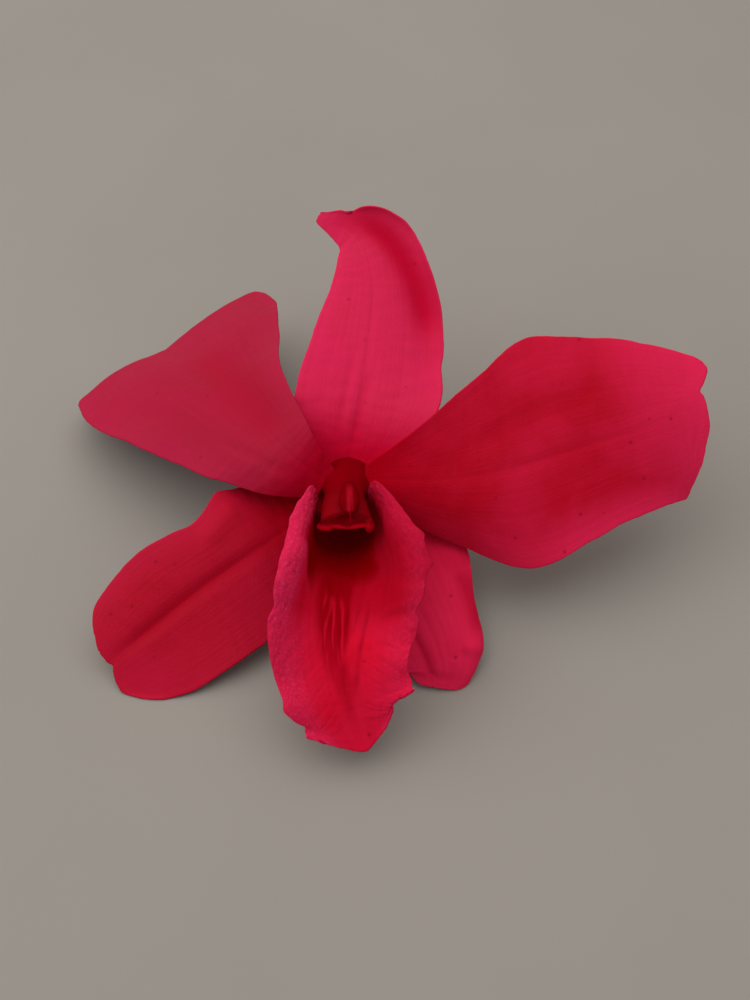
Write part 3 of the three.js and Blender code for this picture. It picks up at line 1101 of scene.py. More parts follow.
@dataclass
class Lip(Blade):
    """The lip: a blade that stands up round the column at its root and spreads at its tip."""

    rim_beads: float = 0.1  # the knobbly skin along the rims of the side lobes
    bead_size: float = 0.38
    bead_side: Span = (0.6, 0.95)
    bead_root: Span = (0.05, 0.15)
    bead_tip: Span = (0.86, 0.62)
    lobe_end: float = 0.545  # share of the length where the side lobes end
    lobe_end_wander: float = 0.012
    lobe_side: Span = (0.36, 0.56)  # shares of a half width that the lobes take
    lobe_step: float = 0.22  # how far they stand above the apron at their end
    lobe_step_run: float = 0.014
    lobe_step_root: Span = (0.2, 0.45)
    lobe_groove: float = 0.09  # how deep the line behind that step is
    lobe_groove_at: float = 0.022
    lobe_groove_width: float = 0.55
    narrow_lobe_share: float = 0.5  # the step on the right lobe, for each unit of the left one's
    lobe_creases: float = 0.13  # creases square to the rims of the side lobes
    lobe_crease_side: Span = (0.45, 0.75)
    lobe_crease_end: Span = (0.02, -0.06)
    lobe_crease_size: Span = (0.75, 3.5)  # along and across, in mm
    lobe_wrinkle_size: Span = (0.35, 1.6)
    apron_creases: float = 0.085  # creases that slant out over the apron
    apron_start: float = 0.1  # share of the length over which the apron's relief comes in
    apron_side: Span = (0.1, 0.4)
    apron_slant: float = 0.9  # how steeply they run out
    apron_crease_size: Span = (0.9, 7.0)  # across and along them, in mm
    apron_calm: float = 0.6  # how deep they are on the right half
    furrow: float = 0.3  # the depth of the furrow down the apron's middle
    furrow_width: float = 0.55
    # how far the painted shade in the throat reaches to each side, as a share of the half width
    throat_left: Values = (0.5, 0.5, 0.42, 0.36, 0.38, 0.2, 0.0, 0.0, 0.0, 0.0, 0.0)
    throat_right: Values = (0.82, 0.82, 0.8, 0.79, 0.81, 0.42, 0.0, 0.0, 0.0, 0.0, 0.0)
    ridge_floor_shade: float = 0.85  # how strong the painted shade is between and beside the ridges
    broad_lobe_shade: tuple[float, float] = (0.46, 0.08)  # painted shade in the left lobe, and what its middle adds

    def relief(self, u: np.ndarray, v: np.ndarray, over: np.ndarray) -> np.ndarray:
        """Adds the lip's own lobes, creases and beads to a blade's relief.

        Args:
            u: Places from root to tip.
            v: Places across, from -1 to 1.
            over: How far each place lies over from the midrib, in mm.

        Returns:
            Heights in mm.
        """
        up = u * self.length()
        out = np.abs(v) * self.side_width(u, v)
        rise = super().relief(u, v, over)
        rise += self.lobe_relief(u, v, up, out)
        rise += self.apron_relief(u, v, up, over)
        rim = smooth_step(*self.bead_side, np.abs(v)) * smooth_step(*self.bead_root, u)
        rim = rim * smooth_step(*self.bead_tip, u)
        beads = rough(out / self.bead_size, up / self.bead_size, self.seed + Pattern.BEADS)
        return rise + self.rim_beads * (beads + 0.3) * rim

    def lobe_relief(self, u: np.ndarray, v: np.ndarray, up: np.ndarray, out: np.ndarray) -> np.ndarray:
        """The side lobes' step down to the apron and their creases square to the rim.

        Args:
            u: Places from root to tip.
            v: Places across, from -1 to 1.
            up: The same places as u, in mm.
            out: The distance from the midrib along the skin, in mm.

        Returns:
            Heights in mm.
        """
        wander = self.lobe_end_wander * rough(out / 2.5, np.sign(v) * 4.0, self.seed + Pattern.LOBE_END)
        end = u - self.lobe_end - wander
        beside = smooth_step(*self.lobe_side, np.abs(v))
        step = self.lobe_step * np.where(v < 0, 1.0, self.narrow_lobe_share) * beside
        step = step * smooth_step(self.lobe_step_run, -self.lobe_step_run, end)
        rise = step * smooth_step(*self.lobe_step_root, u)
        groove = np.where(v < 0, self.lobe_groove, self.lobe_groove / 3)
        away = (end - self.lobe_groove_at) * self.length() / self.lobe_groove_width
        rise -= groove * beside * np.exp(-(away**2))
        lobes = smooth_step(*self.lobe_crease_end, end) * smooth_step(*self.lobe_crease_side, np.abs(v))
        (high, wide), (fine_high, fine_wide) = self.lobe_crease_size, self.lobe_wrinkle_size
        creases = rough(up / high, out / wide, self.seed + Pattern.LOBE_CREASES)
        wrinkles = rough(up / fine_high, out / fine_wide, self.seed + Pattern.LOBE_WRINKLES)
        return rise + self.lobe_creases * (creases + 0.5 * wrinkles) * lobes

    def apron_relief(self, u: np.ndarray, v: np.ndarray, up: np.ndarray, over: np.ndarray) -> np.ndarray:
        """The apron's middle furrow and the creases that slant out from it.

        Args:
            u: Places from root to tip.
            v: Places across, from -1 to 1.
            up: The same places as u, in mm.
            over: How far each place lies over from the midrib, in mm.

        Returns:
            Heights in mm.
        """
        start = self.lobe_end + self.apron_start
        apron = smooth_step(self.lobe_end, start, u) * smooth_step(*self.apron_side, np.abs(v))
        across, lengthways = self.apron_crease_size
        slant = (up - self.apron_slant * np.abs(over)) / across
        drawn = (up + self.apron_slant * np.abs(over)) / lengthways
        creases = rough(slant, drawn + np.sign(v) * 9.0, self.seed + Pattern.APRON_CREASES)
        creases += 0.6 * rough(slant * 2.4, drawn * 3.0, self.seed + Pattern.APRON_WRINKLES)
        near_edge = smooth_step(1.0, 0.9, u) * smooth_step(1.0, 0.9, np.abs(v))
        rise = self.apron_creases * creases * apron * near_edge * np.where(v < 0, 1.0, self.apron_calm)
        furrow = np.exp(-((over / self.furrow_width) ** 2)) * smooth_step(start, start + self.apron_start, u)
        return rise - self.furrow * furrow * smooth_step(1.05, 0.8, u)

    def painted_shade_mask(self, u: np.ndarray, v: np.ndarray, over: np.ndarray) -> np.ndarray:
        """Painted shade: in the throat, beside the ridges, inside the broad lobe and down the furrow.

        Args:
            u: Places from root to tip.
            v: Places across, from -1 to 1.
            over: How far each place lies over from the midrib, in mm.

        Returns:
            A mask from 0 to 1.
        """
        share = np.abs(v)
        edge = np.where(v < 0, along(self.throat_left, u), along(self.throat_right, u))
        edge = edge + 0.03 * rough(u * 16.0, v * 0 + 2.0, self.seed + Pattern.THROAT_EDGE)
        beside = (v > 0) * smooth_step(0.3, 0.7, share)
        soft = np.where(v < 0, 0.13, 0.07)
        fade = 0.35 + 0.11 * beside + 0.02 * rough(over / 1.2, v * 0 + 6.0, self.seed + Pattern.THROAT_FADE)
        throat = smooth_step(0.53, fade, u) * smooth_step(edge + soft, edge - soft, share)
        all_over, middle = self.broad_lobe_shade
        broad = (v < 0) * smooth_step(0.62, 0.5, u) * (all_over + middle * smooth_step(1.0, 0.75, share))
        centre = np.abs(over - 1.1 * smooth_step(0.8, 0.65, u)) - 0.8 * smooth_step(0.7, 0.5, u)
        floor = self.ridge_floor_shade * smooth_step(0.9, 0.55, u) * smooth_step(2.0, 0.5, centre)
        floor = floor * (1 - 0.6 * self.streaks(u, over))
        # painted shade down the apron's middle furrow
        furrow = 0.25 * np.exp(-((over / 0.4) ** 2)) * smooth_step(0.6, 0.7, u) * smooth_step(1.0, 0.8, u)
        return np.maximum.reduce([throat, broad, floor, furrow])

    def streaks(self, u: np.ndarray, over: np.ndarray) -> np.ndarray:
        """Where short streaks along the ridges are left lighter than the painted shade round them.

        Args:
            u: Places from root to tip.
            over: How far each place lies over from the midrib, in mm.

        Returns:
            A mask from 0 to 1.
        """
        grain = rough(over / 0.33, u * self.length() / 2.6, self.seed + Pattern.STREAKS)
        across = smooth_step(-1.0, 0.2, over) * smooth_step(3.2, 2.0, over)
        return smooth_step(0.0, 0.4, grain) * across * smooth_step(0.44, 0.5, u) * smooth_step(0.74, 0.64, u)

    def pale_rim_and_light_mask(self, u: np.ndarray, v: np.ndarray) -> np.ndarray:
        """Where the rims are pale, partly the tissue's own and partly painted light: along the rolled rims,
        most of all on the narrow lobe.

        Args:
            u: Places from root to tip.
            v: Places across, from -1 to 1.

        Returns:
            A mask from 0 to 1.
        """
        share = np.abs(v)
        narrow = smooth_step(0.66, 0.8, share)
        broad = 0.8 * smooth_step(0.7, 0.95, share)
        apron = np.where(v < 0, 0.4, 0.8) * smooth_step(0.35, 0.9, share)
        lobes = np.where(v < 0, broad, narrow)
        return lobes * smooth_step(0.62, 0.54, u) + apron * smooth_step(0.54, 0.62, u)


# ---------------------------------------------------------------- rods and eggs


@dataclass(frozen=True)
class Rod:
    """A closed rod of oval sections along a path. Every list is spaced evenly along it."""

    path: Points
    widths: Values
    heights: Values
    up: Point = (0.0, 0.8, 0.6)
    under: float = 1.0  # the lower half's height, as a share of the upper one's
    domes: tuple[float, float] = (0.4, 0.4)  # how far the two ends stand out
    ends: tuple[float, float] = (0.16, 0.16)  # shares of the rings that the ends take
    segments: int = 64
    rings: int = 48

    def add(self, name: str) -> bpy.types.Object:
        """Shapes a ball into the rod.

        Args:
            name: The new object's name.

        Returns:
            The rod, in the flower's frame and in mm.
        """
        deselect_all()
        bpy.ops.mesh.primitive_uv_sphere_add(segments=self.segments, ring_count=self.rings)
        piece = bpy.context.active_object
        piece.name = piece.data.name = name
        ball = read_points(piece.data)
        w = np.arccos(np.clip(-ball[:, 2], -1.0, 1.0)) / math.pi
        angle = np.arctan2(ball[:, 1], ball[:, 0])
        write_points(piece.data, self.surface(w, angle))
        self.write_rod_map(piece.data, w, angle)
        return piece

    def surface(self, w: np.ndarray, angle: np.ndarray) -> np.ndarray:
        """The rod's points.

        Args:
            w: Places from the first pole to the last one, from 0 to 1.
            angle: Angles round the rod.

        Returns:
            Points in the flower's frame, in mm.
        """
        first, last = self.ends
        u = np.clip((w - first) / (1 - first - last), 0.0, 1.0)
        near_first = np.clip(w / first, 0.0, 1.0)
        near_last = np.clip((1 - w) / last, 0.0, 1.0)
        size = np.sin(0.5 * math.pi * np.minimum(near_first, near_last))
        dome = self.domes[1] * np.cos(0.5 * math.pi * near_last)
        dome = dome - self.domes[0] * np.cos(0.5 * math.pi * near_first)
        heading = heading_along(self.path, u)
        across = unit(np.cross(heading, self.up))
        top = np.cross(across, heading)
        lift = np.sin(angle) * np.where(np.sin(angle) < 0, self.under, 1.0)
        points = along(self.path, u) + heading * dome[:, None]
        points = points + across * (along(self.widths, u) / 2 * size * np.cos(angle))[:, None]
        return points + top * (along(self.heights, u) / 2 * size * lift)[:, None]

    def write_rod_map(self, mesh: bpy.types.Mesh, w: np.ndarray, angle: np.ndarray) -> None:
        """Wraps the UV map round the rod: round it in U and along it in V.

        Args:
            mesh: The rod's mesh.
            w: Each vertex's place along the rod.
            angle: Each vertex's angle round it.
        """
        corners = np.empty(len(mesh.loops), int)
        mesh.loops.foreach_get("vertex_index", corners)
        sheet = np.stack([np.abs(angle[corners]) / math.pi, w[corners]], axis=1)
        mesh.uv_layers.active.data.foreach_set("uv", sheet.ravel())


@dataclass(frozen=True)
class Egg:
    """An egg with the given half sizes, leaning with the column."""

    at: Point
    size: Point
    lean: float = 31.0

    def add(self, name: str) -> bpy.types.Object:
        """Adds the egg.

        Args:
            name: The new object's name.

        Returns:
            The egg, in the flower's frame and in mm.
        """
        deselect_all()
        bpy.ops.mesh.primitive_uv_sphere_add(segments=48, ring_count=32)
        piece = bpy.context.active_object
        piece.name = piece.data.name = name
        turn = np.array(Matrix.Rotation(math.radians(self.lean), 3, "X"))
        write_points(piece.data, read_points(piece.data) * np.array(self.size) @ turn.T + np.array(self.at))
        return piece


def fuse(parts: list[bpy.types.Object], voxel: float, rounds: int) -> bpy.types.Object:
    """Grows several closed forms together into one skin.

    Args:
        parts: The forms, in mm. The first one gives the result its name.
        voxel: The fineness of the new skin, in mm.
        rounds: How often it is smoothed.

    Returns:
        The fused piece.
    """
    deselect_all()
    for part in parts:
        part.select_set(True)
    bpy.context.view_layer.objects.active = parts[0]
    bpy.ops.object.join()
    piece = bpy.context.active_object
    apply_modifier(piece, "REMESH", mode="VOXEL", voxel_size=voxel)
    apply_modifier(piece, "SMOOTH", factor=0.5, iterations=rounds)
    return piece


def hollow(piece: bpy.types.Object, cutter: bpy.types.Object) -> None:
    """Cuts one form out of another and deletes it.

    Args:
        piece: The form that stays.
        cutter: The form that is cut out.
    """
    apply_modifier(piece, "BOOLEAN", operation="DIFFERENCE", object=cutter, solver="EXACT")
    bpy.data.objects.remove(cutter)


def skin(
    piece: bpy.types.Object, seed: float, height: float, size: float
) -> tuple[np.ndarray, np.ndarray]:
    """Roughens a skin a little.

    Args:
        piece: The piece, in mm and in the flower's frame.
        seed: Picks the pattern.
        height: How far the skin goes up and down, in mm.
        size: The size of its grains, in mm.

    Returns:
        The new points and the normals from before.
    """
    points, normals = read_points(piece.data), read_normals(piece.data)
    grain = points / size
    heights = np.array([noise.noise((x, y, z + seed)) for x, y, z in grain.tolist()])
    points = points + normals * (heights * height)[:, None]
    return points, normals


def settle(piece: bpy.types.Object, points: np.ndarray, **masks: np.ndarray) -> None:
    """Puts a shaped piece over the table, in metres, and stores its masks.

    Args:
        piece: The piece.
        points: Its points in the flower's frame, in mm.
        masks: Where painted shade falls, and on the stalk its dry cut end; where a vein or furrow runs; and
            where a rim is pale, partly painted light; by those names. A mask that isn't given stays at zero.
    """
    over = to_table(points)
    over[:, 2] = np.maximum(over[:, 2], 0.0)
    write_points(piece.data, over * MM)
    for name in ("deep", "vein", "rim", "back"):
        write_mask(piece.data, name, masks.get(name, np.zeros(len(points))))
    shade_smooth(piece)


@dataclass
class Column:
    """The waxy middle of the flower, with its wings, its pit and the chin that carries the lip."""

    trunk: Rod = Rod(
        path=(
            (0.1, -0.3, -4.2), (0.1, -0.7, -2.2), (0.0, -1.3, -0.2), (-0.05, -2.1, 1.8), (0.05, -3.2, 3.8),
            (0.25, -4.6, 5.8),
        ),
        widths=(7.5, 6.4, 4.6, 4.6, 5.1, 5.6),
        heights=(6.5, 5.2, 3.4, 3.0, 3.2, 3.2),
        under=0.6,
        domes=(0.5, 0.3),
    )
    chin: Rod = Rod(
        path=((0.0, -1.4, -1.6), (0.0, -2.9, -4.6), (0.0, -4.3, -7.2), (0.0, -5.2, -9.2)),
        widths=(2.6, 2.8, 2.4, 1.0), heights=(1.6, 1.8, 1.6, 0.8), domes=(0.2, 0.4),
    )
    wings: tuple[Egg, ...] = (
        Egg((-2.0, -5.05, 5.4), (1.0, 0.42, 0.75)),
        Egg((2.7, -4.85, 5.4), (0.55, 0.9, 0.8)),
    )
    seat: Egg = Egg((-0.15, -1.5, -5.1), (4.5, 4.2, 2.7), lean=0.0)
    bar: Rod = Rod(
        path=((-1.3, -5.0, 5.9), (0.35, -5.15, 6.0), (2.0, -5.0, 5.9)), widths=(0.36,), heights=(0.3,),
        up=(0.0, 0.0, 1.0), domes=(0.2, 0.2), segments=24, rings=24,
    )
    pit: Egg = Egg((0.4, -4.5, 6.75), (1.3, 0.7, 0.8))
    voxel: float = 0.09
    grain: tuple[float, float] = (0.05, 0.8)  # height and size of the skin's unevenness
    seed: float = 3.0
    # how strong the painted shade in the pit is
    pit_shade: float = 0.8
    all_dark: float = 0.1  # how dark the whole column is, before the painted shade on its hidden parts

    def build(self) -> bpy.types.Object:
        """Fuses trunk, chin, seat, wings and bar, and sinks the pit.

        Returns:
            The column, in place and in metres.
        """
        parts = [self.trunk.add("column"), self.chin.add("chin"), self.seat.add("seat")]
        parts += [wing.add("wing") for wing in self.wings]
        piece = fuse(parts, self.voxel, 4)
        hollow(piece, self.pit.add("pit"))
        piece = fuse([piece, self.bar.add("bar")], self.voxel, 2)
        points, _ = skin(piece, self.seed, *self.grain)
        inside = (points - np.array(self.pit.at)) / (np.array(self.pit.size) * 1.08)
        pit = smooth_step(1.15, 0.9, np.linalg.norm(inside, axis=1))
        # painted shade, matt, under the column, behind it where the blades' bases crowd round, and in the
        # pit
        below = smooth_step(-3.0, -6.5, points[:, 1] + 0.2 * points[:, 2])
        behind = smooth_step(3.8, 1.5, points[:, 2])
        deep = np.maximum(self.pit_shade * pit, self.all_dark + 0.8 * np.maximum(below, behind))
        # painted light on the front of the bar and the wings
        front = smooth_step(-4.5, -5.1, points[:, 1]) * smooth_step(4.5, 5.5, points[:, 2]) * (1 - pit)
        settle(piece, points, deep=deep, rim=front)
        return piece


@dataclass
class AntherCap:
    """The small helmet at the column's tip, with a crest along its top."""

    helmet: Rod = Rod(
        path=((0.5, -0.5, 3.9), (0.55, -1.5, 5.5), (0.6, -2.5, 6.9), (0.6, -3.3, 7.5)),
        widths=(1.3, 2.0, 2.2, 1.5), heights=(0.8, 1.3, 1.3, 0.8), domes=(0.3, 0.3),
    )
    crest: Rod = Rod(
        path=((0.5, -0.6, 4.3), (0.55, -1.4, 5.8), (0.6, -2.2, 7.1), (0.65, -3.3, 7.8)),
        widths=(0.3, 0.5, 0.85, 0.45), heights=(0.4, 0.5, 0.7, 0.5), domes=(0.2, 0.3),
    )
    thread: Rod = Rod(
        path=((0.65, -3.2, 7.9), (0.7, -3.9, 7.85), (0.75, -4.7, 7.6)),
        widths=(0.16, 0.1, 0.09), heights=(0.16, 0.1, 0.09), domes=(0.02, 0.02), segments=12, rings=16,
    )
    voxel: float = 0.05
    grain: tuple[float, float] = (0.03, 0.5)
    seed: float = 9.0

    def build(self) -> bpy.types.Object:
        """Fuses helmet and crest and adds the short thread that hangs from the front.

        Returns:
            The cap, in place and in metres.
        """
        piece = fuse([self.helmet.add("anther_cap"), self.crest.add("crest")], self.voxel, 3)
        thread = self.thread.add("thread")
        activate(piece)
        thread.select_set(True)
        bpy.ops.object.join()
        points, _ = skin(piece, self.seed, *self.grain)
        heading = unit(np.array(self.crest.path[2]) - np.array(self.crest.path[0]))
        away = points - np.array(self.crest.path[0])
        away = away - (away @ heading)[:, None] * heading
        # a painted highlight along the crest; the rest of the cap is darkened
        crest = smooth_step(0.55, 0.15, np.abs(away[:, 0] - 0.05)) * smooth_step(4.0, 6.5, points[:, 2])
        settle(piece, points, deep=0.7 * (1 - crest), rim=crest)
        return piece


@dataclass
class Stalk:
    """The flower's own stalk, ribbed where it holds the ovary and cut off short."""

    rod: Rod = Rod(
        path=(
            (0.1, -0.2, -3.6), (0.2, 0.7, -6.4), (0.7, 2.2, -9.6), (1.6, 4.0, -13.4), (2.9, 5.2, -17.0),
            (4.4, 6.0, -20.5),
        ),
        widths=(5.4, 4.2, 2.9, 2.5, 2.3, 2.4), heights=(4.8, 3.9, 2.9, 2.5, 2.3, 2.4),
        up=(0.0, 1.0, 0.4), domes=(0.6, -0.18), ends=(0.06, 0.05), segments=120, rings=150,
    )
    ribs: int = 6
    rib_height: float = 0.14
    rib_least: float = 0.35  # what is left of that height at the cut end
    twist: float = 1.1  # turns of a rib along the stalk
    grain: tuple[float, float] = (0.06, 0.7)
    seed: float = 5.0

    def build(self) -> bpy.types.Object:
        """Ribs the rod and dries its cut end.

        Returns:
            The stalk, in place and in metres.
        """
        piece = self.rod.add("stalk")
        plain = read_points(piece.data)
        points, normals = skin(piece, self.seed, *self.grain)
        start, stop = np.array(self.rod.path[0]), np.array(self.rod.path[-1])
        t = np.clip((plain - start) @ (stop - start) / float((stop - start) @ (stop - start)), 0.0, 1.0)
        spoke = points - along(self.rod.path, t)
        angle = np.arctan2(spoke[:, 1], spoke[:, 0])
        ribbed = np.cos(self.ribs * angle + self.twist * 2 * math.pi * t)
        fade = self.rib_least + (1 - self.rib_least) * smooth_step(0.75, 0.2, t)
        points = points + normals * (self.rib_height * ribbed * fade * smooth_step(1.0, 0.97, t))[:, None]
        cut, ovary = smooth_step(0.985, 1.0, t), smooth_step(0.5, 0.1, t)
        # this mask marks the stalk's dry cut end
        settle(piece, points, deep=cut, vein=0.5 - 0.5 * ribbed, rim=ovary)
        return piece


# ---------------------------------------------------------------- the bloom's finishes

# paler and pinker than the other sepals: partly uneven dye, partly painted light
DORSAL_FINISH = Finish(
    "sepal_pink", base=(0.64, 0.0075, 0.062), bloom_and_light=(0.74, 0.018, 0.10), shade=(0.46, 0.002, 0.022),
    deep=(0.44, 0.0004, 0.010), specular=0.11, sheen=0.06,
)
SEPAL_FINISH = Finish(
    "sepal", base=(0.42, 0.0015, 0.016), bloom_and_light=(0.52, 0.008, 0.044), shade=(0.30, 0.0008, 0.008),
    deep=(0.34, 0.0002, 0.005), specular=0.06, sheen=0.04,
)
# a lighter copy of the sepal finish: painted light on the right lateral sepal
SIDE_SEPAL_FINISH = Finish(
    "sepal_lit", base=(0.75, 0.010, 0.060), bloom_and_light=(0.86, 0.024, 0.105), shade=(0.44, 0.001, 0.012),
    deep=(0.34, 0.0003, 0.006), specular=0.05, sheen=0.02,
)
LEFT_PETAL_FINISH = Finish(
    "petal_pale", base=(0.35, 0.003, 0.025), bloom_and_light=(0.42, 0.010, 0.048), shade=(0.28, 0.001, 0.010),
    deep=(0.36, 0.0003, 0.009), specular=0.08, sheen=0.05,
)
PETAL_FINISH = Finish(
    "petal", base=(0.46, 0.0012, 0.013), bloom_and_light=(0.74, 0.016, 0.078), shade=(0.33, 0.0004, 0.007),
    deep=(0.36, 0.0002, 0.006), rim_share=0.9, specular=0.04, sheen=0.03,
)
LIP_FINISH = Finish(
    "lip", base=(0.59, 0.0015, 0.018), bloom_and_light=(0.585, 0.0118, 0.061), shade=(0.40, 0.0003, 0.007),
    deep=(0.25, 0.0, 0.0015), vein_share=0.1, rim_share=0.9, cell_scale=3000.0, bump=0.5, specular=0.03,
    sheen=0.03, roughness=(0.65, 0.8), papillae=0.4,
)
# its pale colour is painted light on the front of the bar and the wings
COLUMN_FINISH = Finish(
    "column", base=(0.155, 0.0, 0.002), bloom_and_light=(0.85, 0.0004, 0.016), bloom_share=0.12,
    shade=(0.14, 0.0, 0.002),
    deep=(0.20, 0.0, 0.003), speck_share=0.0, sheen=0.0, specular=0.02, roughness=(0.5, 0.6),
    cell_scale=5000.0,
    bump=0.2,
)
# its pale colour is a painted highlight along the crest
CAP_FINISH = Finish(
    "anther_cap", base=(0.17, 0.0, 0.002), bloom_and_light=(0.33, 0.0002, 0.008), shade=(0.15, 0.0, 0.002),
    deep=(0.14, 0.0, 0.002), speck_share=0.0, rim_share=0.8, sheen=0.0, specular=0.03, roughness=(0.5, 0.6),
    cell_scale=5000.0, bump=0.2,
)
STALK_FINISH = Finish(
    "stalk", base=(0.30, 0.012, 0.018), bloom_and_light=(0.36, 0.03, 0.04), shade=(0.16, 0.005, 0.008),
    deep=(0.2, 0.09, 0.05),
    sheen=0.05, roughness=(0.5, 0.7), bump=0.5,
)


# ---------------------------------------------------------------- sub-assemblies


